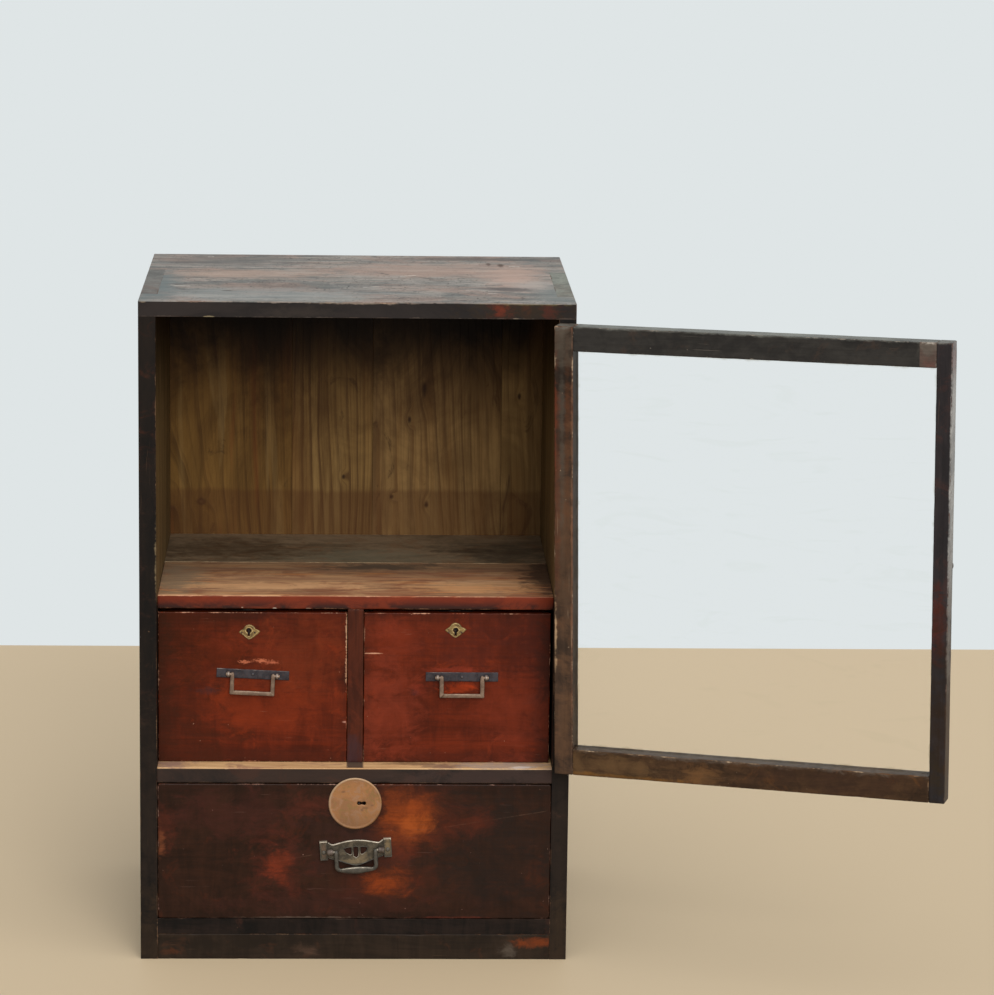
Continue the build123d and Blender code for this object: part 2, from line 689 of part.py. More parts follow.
for hand, drawer in small_drawers.items():
    x0 = drawer["x0"]
    x1 = drawer["x1"]
    key_x, key_z = drawer["key"]
    middle_x = (x0 + x1) / 2
    pull_x, pull_z = drawer["pull"]
    tilt = radians(drawer["tilt"])
    pull_plane = Plane(origin=(pull_x, recess, pull_z), x_dir=(cos(tilt), 0, sin(tilt)), z_dir=(0, -1, 0))
    pin_points = [(key_x + u, key_z + v) for u, v in tack_offsets]
    lock_middle = (key_x, lock_y + lock_depth / 2, small_drawer_top - small_lock_height / 2)

    # Front: rebated for the sides and the bottom, with a recess for the lock behind
    with BuildPart() as drawer_front:
        with Locations((middle_x, recess + small_front_thickness / 2, (small_drawer_bottom + small_drawer_top) / 2)):
            Box(x1 - x0, small_front_thickness, small_drawer_top - small_drawer_bottom)
        fillet(drawer_front.faces().sort_by(Axis.Y)[0].edges(), door_arris)
        with Locations(*[(x, (small_rebate_y + small_front_back) / 2, (small_drawer_bottom + small_drawer_top) / 2)
                         for x in (x0 + board / 2, x1 - board / 2)]):
            Box(board, small_front_back - small_rebate_y, small_drawer_top - small_drawer_bottom, mode=Mode.SUBTRACT)
        with Locations((middle_x, (small_rebate_y + small_front_back) / 2, small_drawer_bottom + bottom_thickness / 2)):
            Box(x1 - x0, small_front_back - small_rebate_y, bottom_thickness, mode=Mode.SUBTRACT)
        with Locations(lock_middle):
            Box(small_lock_width, lock_depth, small_lock_height, mode=Mode.SUBTRACT)
        with BuildSketch(front_plane(recess)):
            with Locations((key_x, key_z)):
                Circle(keyhole_r)
            with Locations((key_x, key_z - keyhole_slot[1] / 2)):
                Rectangle(*keyhole_slot)
        extrude(amount=-lock_y + recess, mode=Mode.SUBTRACT)
        with BuildSketch(pull_plane):
            with Locations((-eye_x, 0), (eye_x, 0)):
                Circle(shank_hole_r)
        extrude(amount=-small_front_thickness, mode=Mode.SUBTRACT)
        with BuildSketch(pull_plane):
            Circle(plate_nail_hole_r)
        extrude(amount=-plate_nail_depth, mode=Mode.SUBTRACT)
        with BuildSketch(front_plane(recess)):
            with Locations(*pin_points):
                Circle(tack_hole_r)
        extrude(amount=-tack_depth, mode=Mode.SUBTRACT)
    drawer_front.part.label = f"{hand}_drawer_front"
    export_step(drawer_front.part, f"parts/{hand}_drawer_front.step")

    # Sides
    with BuildPart() as drawer_sides:
        with Locations(*[(x, (small_rebate_y + drawer_back_end) / 2, (small_side_bottom + small_side_top) / 2)
                         for x in (x0 + board / 2, x1 - board / 2)]):
            Box(board, drawer_back_end - small_rebate_y, small_side_top - small_side_bottom)
    drawer_sides.part.label = f"{hand}_drawer_sides"
    export_step(drawer_sides.part, f"parts/{hand}_drawer_sides.step")

    # Back, between the sides
    with BuildPart() as drawer_back:
        with Locations((middle_x, drawer_back_end - board / 2, (small_side_bottom + small_back_top) / 2)):
            Box(x1 - x0 - 2 * board, board, small_back_top - small_side_bottom)
    drawer_back.part.label = f"{hand}_drawer_back"
    export_step(drawer_back.part, f"parts/{hand}_drawer_back.step")

    # Bottom, under the sides and the back
    with BuildPart() as drawer_bottom:
        with Locations((middle_x, (small_rebate_y + drawer_back_end) / 2, small_drawer_bottom + bottom_thickness / 2)):
            Box(x1 - x0, drawer_back_end - small_rebate_y, bottom_thickness)
    drawer_bottom.part.label = f"{hand}_drawer_bottom"
    export_step(drawer_bottom.part, f"parts/{hand}_drawer_bottom.step")

    # Escutcheon: a scalloped lozenge with the keyhole
    plate_x, plate_z = drawer["plate"]
    corners = [(plate_x + u, plate_z + v) for u, v in escutcheon_points]
    with BuildPart() as escutcheon:
        with BuildSketch(front_plane(recess)):
            with BuildLine():
                for first, second in zip(corners, corners[1:] + corners[:1]):
                    SagittaArc(first, second, escutcheon_dip)
            make_face()
            with Locations((key_x, key_z)):
                Circle(keyhole_r, mode=Mode.SUBTRACT)
            with Locations((key_x, key_z - keyhole_slot[1] / 2)):
                Rectangle(*keyhole_slot, mode=Mode.SUBTRACT)
            with Locations(*pin_points):
                Circle(tack_hole_r, mode=Mode.SUBTRACT)
        extrude(amount=escutcheon_thickness)
    escutcheon.part.label = f"{hand}_escutcheon"
    export_step(escutcheon.part, f"parts/{hand}_escutcheon.step")

    # Pull plate
    with BuildPart(pull_plane) as pull_plate:
        with Locations((0, 0, plate_thickness / 2)):
            Box(plate_length, plate_height, plate_thickness)
        fillet(pull_plate.faces().sort_by(Axis.Y)[0].edges(), plate_edge)
        with BuildSketch(pull_plane):
            with Locations((-eye_x, 0), (eye_x, 0)):
                Circle(shank_hole_r)
            Circle(plate_nail_hole_r)
        extrude(amount=plate_thickness, mode=Mode.SUBTRACT)
    pull_plate.part.label = f"{hand}_pull_plate"
    export_step(pull_plate.part, f"parts/{hand}_pull_plate.step")

    # Eyes: a ring for the bail's pin, on a shank clinched behind the front
    with BuildPart(pull_plane) as pull_eyes:
        for side in (-1, 1):
            ring_center = pull_plane.from_local_coords((side * eye_x, 0, eye_z))
            with BuildSketch(Plane(origin=ring_center, x_dir=(0, -1, 0), z_dir=pull_plane.x_dir)):
                Circle(eye_r)
            extrude(amount=eye_width / 2, both=True)
            with Locations((side * eye_x, 0, -small_front_thickness)):
                Cylinder(shank_r, small_front_thickness + shank_reach, align=start)
            with Locations((side * eye_x, 0, -small_front_thickness - clinch)):
                Cylinder(clinch_r, clinch, align=start)
            with BuildSketch(Plane(origin=ring_center, x_dir=(0, -1, 0), z_dir=pull_plane.x_dir)):
                Circle(eye_bore_r)
            extrude(amount=eye_width, both=True, mode=Mode.SUBTRACT)
    pull_eyes.part.label = f"{hand}_pull_eyes"
    export_step(pull_eyes.part, f"parts/{hand}_pull_eyes.step")

    # Pins of the escutcheon and the nail in the middle of the pull plate
    with BuildPart() as fitting_pins:
        with BuildSketch(front_plane(recess)):
            with Locations(*pin_points):
                Circle(tack_r)
        extrude(amount=-tack_depth)
        with BuildSketch(front_plane(recess - escutcheon_thickness)):
            with Locations(*pin_points):
                Circle(tack_head_r)
        extrude(amount=tack_head)
        with BuildSketch(front_plane(recess)):
            with Locations(*pin_points):
                Circle(tack_r)
        extrude(amount=escutcheon_thickness)
        with BuildSketch(pull_plane.offset(-plate_nail_depth)):
            Circle(plate_nail_r)
        extrude(amount=plate_nail_depth + plate_thickness)
        with BuildSketch(pull_plane.offset(plate_thickness)):
            Circle(plate_nail_head_r)
        extrude(amount=plate_nail_head)
    fitting_pins.part.label = f"{hand}_fitting_pins"
    export_step(fitting_pins.part, f"parts/{hand}_fitting_pins.step")

    # Bail: a square-cornered bar with its ends turned out through the eyes
    with BuildPart(pull_plane) as pull_bail:
        with BuildSketch(pull_plane.offset(eye_z - bail_depth / 2)) as outline:
            with Locations((0, (bail_top - bail_drop) / 2)):
                Rectangle(2 * bail_outer, bail_drop + bail_top)
            with Locations((0, (bail_top - bail_drop + bail_bar) / 2)):
                Rectangle(2 * (bail_outer - bail_bar), bail_drop + bail_top - bail_bar, mode=Mode.SUBTRACT)
            fillet(outline.vertices().group_by(Axis.Y)[-1], bail_corner)
        extrude(amount=bail_depth)
        fillet(pull_bail.faces().sort_by(Axis.Y)[0].edges(), bail_edge)
        fillet(pull_bail.faces().sort_by(Axis.Y)[-1].edges(), bail_edge)
        for side in (-1, 1):
            pin_start = pull_plane.from_local_coords((side * (bail_outer - 2), 0, eye_z))
            with BuildSketch(Plane(origin=pin_start, x_dir=(0, -1, 0), z_dir=pull_plane.x_dir)):
                Circle(bail_pin_r)
            extrude(amount=side * (bail_pin_end - bail_outer + 2))
    pull_bail.part.label = f"{hand}_pull_bail"
    export_step(pull_bail.part, f"parts/{hand}_pull_bail.step")

    # Lock case with a channel for its bolt, open at the top
    with BuildPart() as lock_case:
        with Locations(lock_middle):
            Box(small_lock_width, lock_depth, small_lock_height)
        channel_bottom = small_bolt_bottom - bolt_clearance
        with Locations((key_x, bolt_y, (channel_bottom + small_drawer_top) / 2)):
            Box(small_bolt[0] + 2 * bolt_clearance, small_bolt[1] + 2 * bolt_clearance,
                small_drawer_top - channel_bottom, mode=Mode.SUBTRACT)
        with BuildSketch(front_plane(lock_y)):
            with Locations((key_x, key_z)):
                Circle(keyhole_r)
            with Locations((key_x, key_z - keyhole_slot[1] / 2)):
                Rectangle(*keyhole_slot)
        extrude(amount=-keyhole_blind, mode=Mode.SUBTRACT)
    lock_case.part.label = f"{hand}_lock_case"
    export_step(lock_case.part, f"parts/{hand}_lock_case.step")

    # Bolt, shot upwards into the shelf
    with BuildPart() as lock_bolt:
        with Locations((key_x, bolt_y, small_bolt_bottom + small_bolt[2] / 2)):
            Box(*small_bolt)
    lock_bolt.part.label = f"{hand}_lock_bolt"
    export_step(lock_bolt.part, f"parts/{hand}_lock_bolt.step")

# Large drawer
tilt = radians(large_pull_tilt)
large_pull_plane = Plane(
    origin=(large_pull_x, large_front_y, large_pull_z), x_dir=(cos(tilt), 0, sin(tilt)), z_dir=(0, -1, 0)
)
large_front_thickness = large_front_back - large_front_y
large_middle_z = (large_bottom + large_top) / 2
large_side_bottom = large_bottom + large_bottom_thickness

# Front: rounded corners, a recess for the lock, and holes for the key and the pull's shanks
with BuildPart() as large_drawer_front:
    with BuildSketch(front_plane(large_front_y)):
        with Locations((0, large_middle_z)):
            RectangleRounded(2 * large_half, large_top - large_bottom, large_corner_r)
    extrude(amount=-large_front_thickness)
    fillet(large_drawer_front.faces().sort_by(Axis.Y)[0].edges(), front_arris)
    with Locations(*[(sign * (large_half - large_board / 2), (large_rebate_y + large_front_back) / 2, large_middle_z)
                     for sign in (-1, 1)]):
        Box(large_board, large_front_back - large_rebate_y, large_top - large_bottom, mode=Mode.SUBTRACT)
    with Locations((0, (large_rebate_y + large_front_back) / 2, (large_bottom + large_side_bottom) / 2)):
        Box(2 * large_half, large_front_back - large_rebate_y, large_side_bottom - large_bottom, mode=Mode.SUBTRACT)
    with Locations((0, large_lock_y + large_lock_depth / 2, (large_lock_bottom + large_top) / 2)):
        Box(large_lock_width, large_lock_depth, large_top - large_lock_bottom, mode=Mode.SUBTRACT)
    with BuildSketch(front_plane(large_front_y)):
        with Locations((large_key_x - key_lobe, large_key_z), (large_key_x + key_lobe, large_key_z)):
            Circle(key_r)
        with Locations((large_key_x, large_key_z)):
            Rectangle(2 * key_lobe, key_neck)
    extrude(amount=large_front_y - large_lock_y, mode=Mode.SUBTRACT)
    with BuildSketch(large_pull_plane):
        with Locations((-lug_x, 0), (lug_x, 0)):
            Circle(large_shank_hole_r)
    extrude(amount=-large_front_thickness, mode=Mode.SUBTRACT)
large_drawer_front.part.label = "large_drawer_front"
export_step(large_drawer_front.part, "parts/large_drawer_front.step")

with BuildPart() as large_drawer_sides:
    with Locations(*[(sign * (large_half - large_board / 2), (large_rebate_y + drawer_back_end) / 2,
                      (large_side_bottom + large_side_top) / 2) for sign in (-1, 1)]):
        Box(large_board, drawer_back_end - large_rebate_y, large_side_top - large_side_bottom)
large_drawer_sides.part.label = "large_drawer_sides"
export_step(large_drawer_sides.part, "parts/large_drawer_sides.step")

with BuildPart() as large_drawer_back:
    with Locations((0, drawer_back_end - board / 2, (large_side_bottom + large_back_top) / 2)):
        Box(2 * (large_half - large_board), board, large_back_top - large_side_bottom)
large_drawer_back.part.label = "large_drawer_back"
export_step(large_drawer_back.part, "parts/large_drawer_back.step")

with BuildPart() as large_drawer_bottom:
    with Locations((0, (large_rebate_y + drawer_back_end) / 2, (large_bottom + large_side_bottom) / 2)):
        Box(2 * large_half, drawer_back_end - large_rebate_y, large_side_bottom - large_bottom)
large_drawer_bottom.part.label = "large_drawer_bottom"
export_step(large_drawer_bottom.part, "parts/large_drawer_bottom.step")

# Round lock plate with a two-lobed keyhole
with BuildPart() as large_lock_plate:
    with BuildSketch(front_plane(large_front_y)):
        with Locations((lock_plate_x, lock_plate_z)):
            Circle(lock_plate_r)
    extrude(amount=lock_plate_thickness)
    fillet(large_lock_plate.faces().sort_by(Axis.Y)[0].edges(), plate_edge)
    with BuildSketch(front_plane(large_front_y)):
        with Locations((large_key_x - key_lobe, large_key_z), (large_key_x + key_lobe, large_key_z)):
            Circle(key_r)
        with Locations((large_key_x, large_key_z)):
            Rectangle(2 * key_lobe, key_neck)
    extrude(amount=lock_plate_thickness, mode=Mode.SUBTRACT)
large_lock_plate.part.label = "large_lock_plate"
export_step(large_lock_plate.part, "parts/large_lock_plate.step")

# Lock case with the bolt's channel and the post that the pipe key turns on
with BuildPart() as large_lock_case:
    with Locations((0, large_lock_y + large_lock_depth / 2, (large_lock_bottom + large_top) / 2)):
        Box(large_lock_width, large_lock_depth, large_top - large_lock_bottom)
    channel_bottom = large_bolt_bottom - bolt_clearance
    with Locations((0, large_bolt_y, (channel_bottom + large_top) / 2)):
        Box(large_bolt[0] + 2 * bolt_clearance, large_bolt[1] + 2 * bolt_clearance,
            large_top - channel_bottom, mode=Mode.SUBTRACT)
    with BuildSketch(front_plane(large_lock_y)):
        with Locations((large_key_x - key_lobe, large_key_z), (large_key_x + key_lobe, large_key_z)):
            Circle(key_r)
        with Locations((large_key_x, large_key_z)):
            Rectangle(2 * key_lobe, key_neck)
    extrude(amount=-keyhole_blind, mode=Mode.SUBTRACT)
    with BuildSketch(front_plane(large_lock_y + keyhole_blind)):
        with Locations((large_key_x - key_lobe, large_key_z)):
            Circle(post_r)
    extrude(amount=large_lock_y + keyhole_blind - large_front_y + post_end)
large_lock_case.part.label = "large_lock_case"
export_step(large_lock_case.part, "parts/large_lock_case.step")

with BuildPart() as large_lock_bolt:
    with Locations((0, large_bolt_y, large_bolt_bottom + large_bolt[2] / 2)):
        Box(*large_bolt)
large_lock_bolt.part.label = "large_lock_bolt"
export_step(large_lock_bolt.part, "parts/large_lock_bolt.step")

# Cast pull plate: two upright lugs, an arched web with a pointed lower edge and three fan openings, and a boss
# beside each lug for the bail's pins
lug_inner = lug_x - lug_width / 2
with BuildPart(large_pull_plane) as large_pull_plate:
    with BuildSketch(large_pull_plane):
        with BuildLine():
            Spline((-25, 6.5), (-10, 10.2), (10, 10.2), (25, 6.5), tangents=((1, 0.3), (1, -0.3)))
            Polyline((25, 6.5), (lug_inner + 1, 9.5), (lug_inner + 1, -6.5), (19, -10.5), (4, -16.3))
            ThreePointArc((4, -16.3), (0, -17.2), (-4, -16.3))
            Polyline((-4, -16.3), (-19, -10.5), (-lug_inner - 1, -6.5), (-lug_inner - 1, 9.5), (-25, 6.5))
        make_face()
        with BuildLine():
            Polyline((-6.2, -5), (-4, -5), (-4, 4), (-13, 2.4))
            ThreePointArc((-13, 2.4), (-11, -2.2), (-6.2, -5))
        make_face(mode=Mode.SUBTRACT)
        with BuildLine():
            Polyline((6.7, -5), (4.5, -5), (4.5, 3.8), (13, 2.8))
            ThreePointArc((13, 2.8), (11.2, -2), (6.7, -5))
        make_face(mode=Mode.SUBTRACT)
        with BuildLine():
            Polyline((-2.6, -6.2), (-2.6, 4), (2.6, 3.8), (2.6, -6.2))
            ThreePointArc((2.6, -6.2), (0, -8.7), (-2.6, -6.2))
        make_face(mode=Mode.SUBTRACT)
    extrude(amount=cast_thickness)
    for side in (-1, 1):
        with Locations((side * lug_x, (lug_top + lug_bottom) / 2, lug_thickness / 2)):
            Box(lug_width, lug_top - lug_bottom, lug_thickness)
        with Locations((side * (boss_inner + lug_inner + 0.5) / 2, pivot_y, pivot_z / 2)):
            Box(lug_inner + 0.5 - boss_inner, 2 * boss_r - 1, pivot_z)
        boss_start = large_pull_plane.from_local_coords((side * boss_inner, pivot_y, pivot_z))
        with BuildSketch(Plane(origin=boss_start, x_dir=(0, -1, 0), z_dir=large_pull_plane.x_dir)):
            Circle(boss_r)
        extrude(amount=side * (lug_inner + 0.5 - boss_inner))
        with BuildSketch(Plane(origin=boss_start, x_dir=(0, -1, 0), z_dir=large_pull_plane.x_dir)):
            Circle(eye_bore_r)
        extrude(amount=side * 5, mode=Mode.SUBTRACT)
        with Locations((side * lug_x, 0, -large_front_thickness)):
            Cylinder(large_shank_r, large_front_thickness + 1, align=start)
        with Locations((side * lug_x, 0, -large_front_thickness - clinch)):
            Cylinder(large_clinch_r, clinch, align=start)
large_pull_plate.part.label = "large_pull_plate"
export_step(large_pull_plate.part, "parts/large_pull_plate.step")

# Bail of the large pull: a round-cornered bar, thicker in the middle of the grip
with BuildPart(large_pull_plane) as large_pull_bail:
    with BuildSketch(large_pull_plane.offset(pivot_z - large_bail_thickness / 2)) as outline:
        with BuildLine():
            Line((-large_bail_half, bail_top), (-large_bail_half, -21.6))
            ThreePointArc((-large_bail_half, -21.6), (0, -24.1), (large_bail_half, -21.6))
            Polyline((large_bail_half, -21.6), (large_bail_half, bail_top), (large_bail_inner, bail_top),
                     (large_bail_inner, -18.0))
            ThreePointArc((large_bail_inner, -18.0), (0, -16.5), (-large_bail_inner, -18.0))
            Polyline((-large_bail_inner, -18.0), (-large_bail_inner, bail_top), (-large_bail_half, bail_top))
        make_face()
        rows = outline.vertices().group_by(Axis.Y)
        fillet(rows[0], large_bail_outer_corner)
        fillet(outline.vertices().filter_by_position(Axis.Y, -18.1, -17.9), large_bail_inner_corner)
    extrude(amount=large_bail_thickness)
    fillet(large_pull_bail.faces().sort_by(Axis.Y)[0].edges(), large_bail_edge)
    fillet(large_pull_bail.faces().sort_by(Axis.Y)[-1].edges(), large_bail_edge)
    for side in (-1, 1):
        pin_start = large_pull_plane.from_local_coords((side * (large_bail_half - 2), pivot_y, pivot_z))
        with BuildSketch(Plane(origin=pin_start, x_dir=(0, -1, 0), z_dir=large_pull_plane.x_dir)):
            Circle(bail_pin_r)
        extrude(amount=side * (bail_pin_end + 0.4 - large_bail_half + 2))
large_pull_bail.part.label = "large_pull_bail"
export_step(large_pull_bail.part, "parts/large_pull_bail.step")
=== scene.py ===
import math

import bpy
import numpy as np
from mathutils import Matrix, Vector


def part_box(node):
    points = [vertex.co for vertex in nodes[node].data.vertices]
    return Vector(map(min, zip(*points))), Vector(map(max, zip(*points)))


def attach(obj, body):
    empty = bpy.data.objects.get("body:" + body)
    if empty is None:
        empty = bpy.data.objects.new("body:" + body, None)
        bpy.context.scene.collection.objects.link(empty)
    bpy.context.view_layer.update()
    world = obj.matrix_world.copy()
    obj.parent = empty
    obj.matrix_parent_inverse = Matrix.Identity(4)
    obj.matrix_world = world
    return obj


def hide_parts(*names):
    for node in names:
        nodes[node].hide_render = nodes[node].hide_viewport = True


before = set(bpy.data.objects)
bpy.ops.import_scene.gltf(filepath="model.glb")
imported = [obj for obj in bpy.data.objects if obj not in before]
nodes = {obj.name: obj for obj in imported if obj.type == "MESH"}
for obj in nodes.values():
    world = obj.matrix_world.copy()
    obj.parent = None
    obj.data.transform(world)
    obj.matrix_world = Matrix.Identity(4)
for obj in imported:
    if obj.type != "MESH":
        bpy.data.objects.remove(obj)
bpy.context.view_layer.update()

# Side panels. Two boards of softwood under old dark lacquer, with housings for
# the shelves and a finger that comes up through the top board. Both are the
# frame's own nodes and get the case's lacquer, worn brown along the arrises.


def dye(red, green, blue):
    """A colour given as it looks, 0 to 255, as light: each share is raised to 2.4
    after the small offset of the screen's curve, or divided by 12.92 near black."""
    share = np.array([red, green, blue]) / 255
    light = np.where(share <= 0.04045, share / 12.92, ((share + 0.055) / 1.055) ** 2.4)
    return (*[float(v) for v in light], 1.0)


class Finish:
    """One finish, laid on as nodes in the order of the calls.
    Every pattern reads the piece's own place in metres."""

    def __init__(self, name):
        self.material = bpy.data.materials.new(name)
        self.material.use_nodes = True
        self.tree = self.material.node_tree
        self.tree.nodes.clear()
        self.out = self.tree.nodes.new("ShaderNodeOutputMaterial")
        self.shader = self.tree.nodes.new("ShaderNodeBsdfPrincipled")
        self.tree.links.new(self.shader.outputs[0], self.out.inputs[0])
        self.place = self.tree.nodes.new("ShaderNodeTexCoord").outputs["Object"]
        self.height = None

    def put(self, socket, value):
        """Links a socket, or sets a plain number or colour on it."""
        if isinstance(value, bpy.types.NodeSocket):
            self.tree.links.new(value, socket)
        else:
            socket.default_value = value

    def sum(self, kind, *values):
        """One sum on numbers: ADD, MULTIPLY, MINIMUM and so on."""
        node = self.tree.nodes.new("ShaderNodeMath")
        node.operation = kind
        for socket, value in zip(node.inputs, values):
            self.put(socket, value)
        return node.outputs[0]

    def arrow(self, kind, *values):
        """One sum on places: ADD, SUBTRACT, MULTIPLY, LENGTH and so on."""
        node = self.tree.nodes.new("ShaderNodeVectorMath")
        node.operation = kind
        for socket, value in zip(node.inputs, values):
            self.put(socket, value)
        return node.outputs["Value" if kind in ("LENGTH", "DOT_PRODUCT") else "Vector"]

    def part(self, place, axis):
        """The share of a place along axis 0, 1 or 2."""
        node = self.tree.nodes.new("ShaderNodeSeparateXYZ")
        self.put(node.inputs[0], place)
        return node.outputs[axis]

    def turn_to(self, corner, along, up, out):
        """Measures every pattern from a corner, in the directions of a piece that stands askew."""
        away = self.arrow("SUBTRACT", self.place, tuple(corner))
        node = self.tree.nodes.new("ShaderNodeCombineXYZ")
        for socket, direction in zip(node.inputs, (along, up, out)):
            self.put(socket, self.arrow("DOT_PRODUCT", away, tuple(direction)))
        self.place = node.outputs[0]

    def cloud(self, scale, detail=4.0, rough=0.55, twist=0.0, shift=(0.0, 0.0, 0.0)):
        """Fractal noise, 0 to 1, at scale lumps to the metre along each axis."""
        moved = self.arrow("MULTIPLY_ADD", self.place, tuple(scale), tuple(shift))
        node = self.tree.nodes.new("ShaderNodeTexNoise")
        node.inputs["Scale"].default_value = 1.0
        node.inputs["Detail"].default_value = detail
        node.inputs["Roughness"].default_value = rough
        node.inputs["Distortion"].default_value = twist
        self.put(node.inputs["Vector"], moved)
        return node.outputs["Fac"]

    def band(self, value, low, high, first=0.0, last=1.0):
        """A smooth step: first below low, last above high."""
        node = self.tree.nodes.new("ShaderNodeMapRange")
        node.interpolation_type = "SMOOTHSTEP"
        for socket, number in zip(node.inputs, (value, low, high, first, last)):
            self.put(socket, number)
        return node.outputs[0]

    def blend(self, amount, first, second):
        """A mix of two colours."""
        node = self.tree.nodes.new("ShaderNodeMix")
        node.data_type = "RGBA"
        self.put(node.inputs[0], amount)
        self.put(node.inputs[6], first)
        self.put(node.inputs[7], second)
        return node.outputs[2]

    def both(self, first, second):
        """Where two masks both hold."""
        return self.sum("MULTIPLY", first, second)

    def patch(self, centre, reach, ragged=2.6, scale=60.0, edge=0.65):
        """A patch, used both for worn places and for painted shade: 1 at the centre of an ellipse with those
        half-widths, falling to 0 past its ragged rim. The noise that is added to the distance breaks it up
        into smears and specks."""
        away = self.arrow("SUBTRACT", self.place, tuple(centre))
        away = self.arrow("DIVIDE", away, tuple(reach))
        away = self.arrow("LENGTH", away)
        lumps = self.cloud((scale * 0.6, scale, scale), 6.0, 0.72, 0.6,
                           shift=(centre[0] * 31, centre[2] * 17, 3.1))
        lumps = self.sum("MULTIPLY_ADD", lumps, 2 * ragged, -ragged)
        return self.band(self.sum("ADD", away, lumps), 1.0 + edge, 1.0 - edge)

    def worn_and_shaded_places(self, colour, places, *rim):
        """Lays worn places and places of painted shade over a colour, one after another. Each has a
        centre, half-widths, a tint and a strength; they share how ragged, fine and soft their rims are."""
        for centre, half, tint, strength in places:
            colour = self.blend(self.both(self.patch(centre, half, *rim), strength), colour, tint)
        return colour

    def block(self, centre, half, soft=0.0005):
        """A place with straight sides: 1 inside a box with those half-widths, 0 outside, over a soft rim."""
        away = self.arrow("ABSOLUTE", self.arrow("SUBTRACT", self.place, tuple(centre)))
        depth = self.arrow("SUBTRACT", tuple(half), away)
        a, b, c = (self.part(depth, axis) for axis in range(3))
        return self.band(self.sum("MINIMUM", self.sum("MINIMUM", a, b), c), -soft, soft)

    def scratch(self, start, end, width):
        """A line scratched from start to end: the distance to the nearest place on it, which is the start
        plus the clamped share of the way along, against a width that noise thins out here and there."""
        start, way = Vector(start), Vector(end) - Vector(start)
        from_start = self.arrow("SUBTRACT", self.place, tuple(start))
        share = self.sum("DIVIDE", self.arrow("DOT_PRODUCT", from_start, tuple(way)), way.length_squared)
        share = self.sum("MINIMUM", self.sum("MAXIMUM", share, 0.0), 1.0)
        node = self.tree.nodes.new("ShaderNodeVectorMath")
        node.operation = "SCALE"
        node.inputs[0].default_value = tuple(way)
        self.put(node.inputs["Scale"], share)
        away = self.arrow("LENGTH", self.arrow("SUBTRACT", from_start, node.outputs["Vector"]))
        thin = self.sum("MULTIPLY", self.band(self.cloud((160.0, 160.0, 160.0), 4.0, 0.7), 0.3, 0.6), width)
        return self.band(self.sum("SUBTRACT", thin, away), -0.0002, 0.0002)

    def arris(self, low, high, reach, cover=0.25, scale=45.0):
        """Wear along the edges of a board. Of the distances to the board's three pairs
        of faces, the middle one is the distance to the nearest edge; it is compared
        with a reach that swells and shrinks along the board, and drops below nothing
        where the arris is still whole. A larger cover leaves less of it whole."""
        near = self.arrow("MINIMUM", self.arrow("SUBTRACT", self.place, tuple(low)),
                          self.arrow("SUBTRACT", tuple(high), self.place))
        a, b, c = (self.part(near, axis) for axis in range(3))
        middle = self.sum("MAXIMUM", self.sum("MINIMUM", a, b),
                          self.sum("MINIMUM", self.sum("MAXIMUM", a, b), c))
        self.rim = middle
        long_lumps = self.cloud((scale, scale, scale), 3.0, 0.6, shift=(5.1, 2.7, 8.3))
        short_lumps = self.cloud((scale * 9, scale * 9, scale * 9), 3.0, 0.6)
        lumps = self.sum("MULTIPLY_ADD", long_lumps, 4.5, cover - 2.25)
        lumps = self.sum("MULTIPLY_ADD", short_lumps, 2.4, self.sum("ADD", lumps, -1.2))
        limit = self.sum("MULTIPLY", lumps, reach)
        return self.band(self.sum("SUBTRACT", limit, middle), -0.0003, 0.0003)

    def wear_and_highlight(self):
        """How bright a place is, 0 to 1, as the piece's own mesh marks it: rubbed wear, and on some pieces
        painted highlight.
        """
        node = self.tree.nodes.new("ShaderNodeAttribute")
        node.attribute_name = "wear_and_highlight"
        return node.outputs["Fac"]

    def relief(self, height, depth):
        """Adds a relief of that depth in metres, where height runs from 0 to 1."""
        node = self.tree.nodes.new("ShaderNodeBump")
        node.inputs["Strength"].default_value = 1.0
        node.inputs["Distance"].default_value = depth
        self.put(node.inputs["Height"], height)
        if self.height is not None:
            self.put(node.inputs["Normal"], self.height)
        self.height = node.outputs[0]

    def close(self, colour, roughness, metallic=0.0, specular=0.5):
        """Joins the colour, the roughness and the relief to the shader."""
        self.put(self.shader.inputs["Base Color"], colour)
        self.put(self.shader.inputs["Roughness"], roughness)
        self.put(self.shader.inputs["Metallic"], metallic)
        self.shader.inputs["Specular IOR Level"].default_value = specular
        if self.height is not None:
            self.put(self.shader.inputs["Normal"], self.height)
        return self.material


def along(axis, slow, fast):
    """Scales of a grain that runs along axis 0, 1 or 2."""
    return tuple(slow if k == axis else fast for k in range(3))


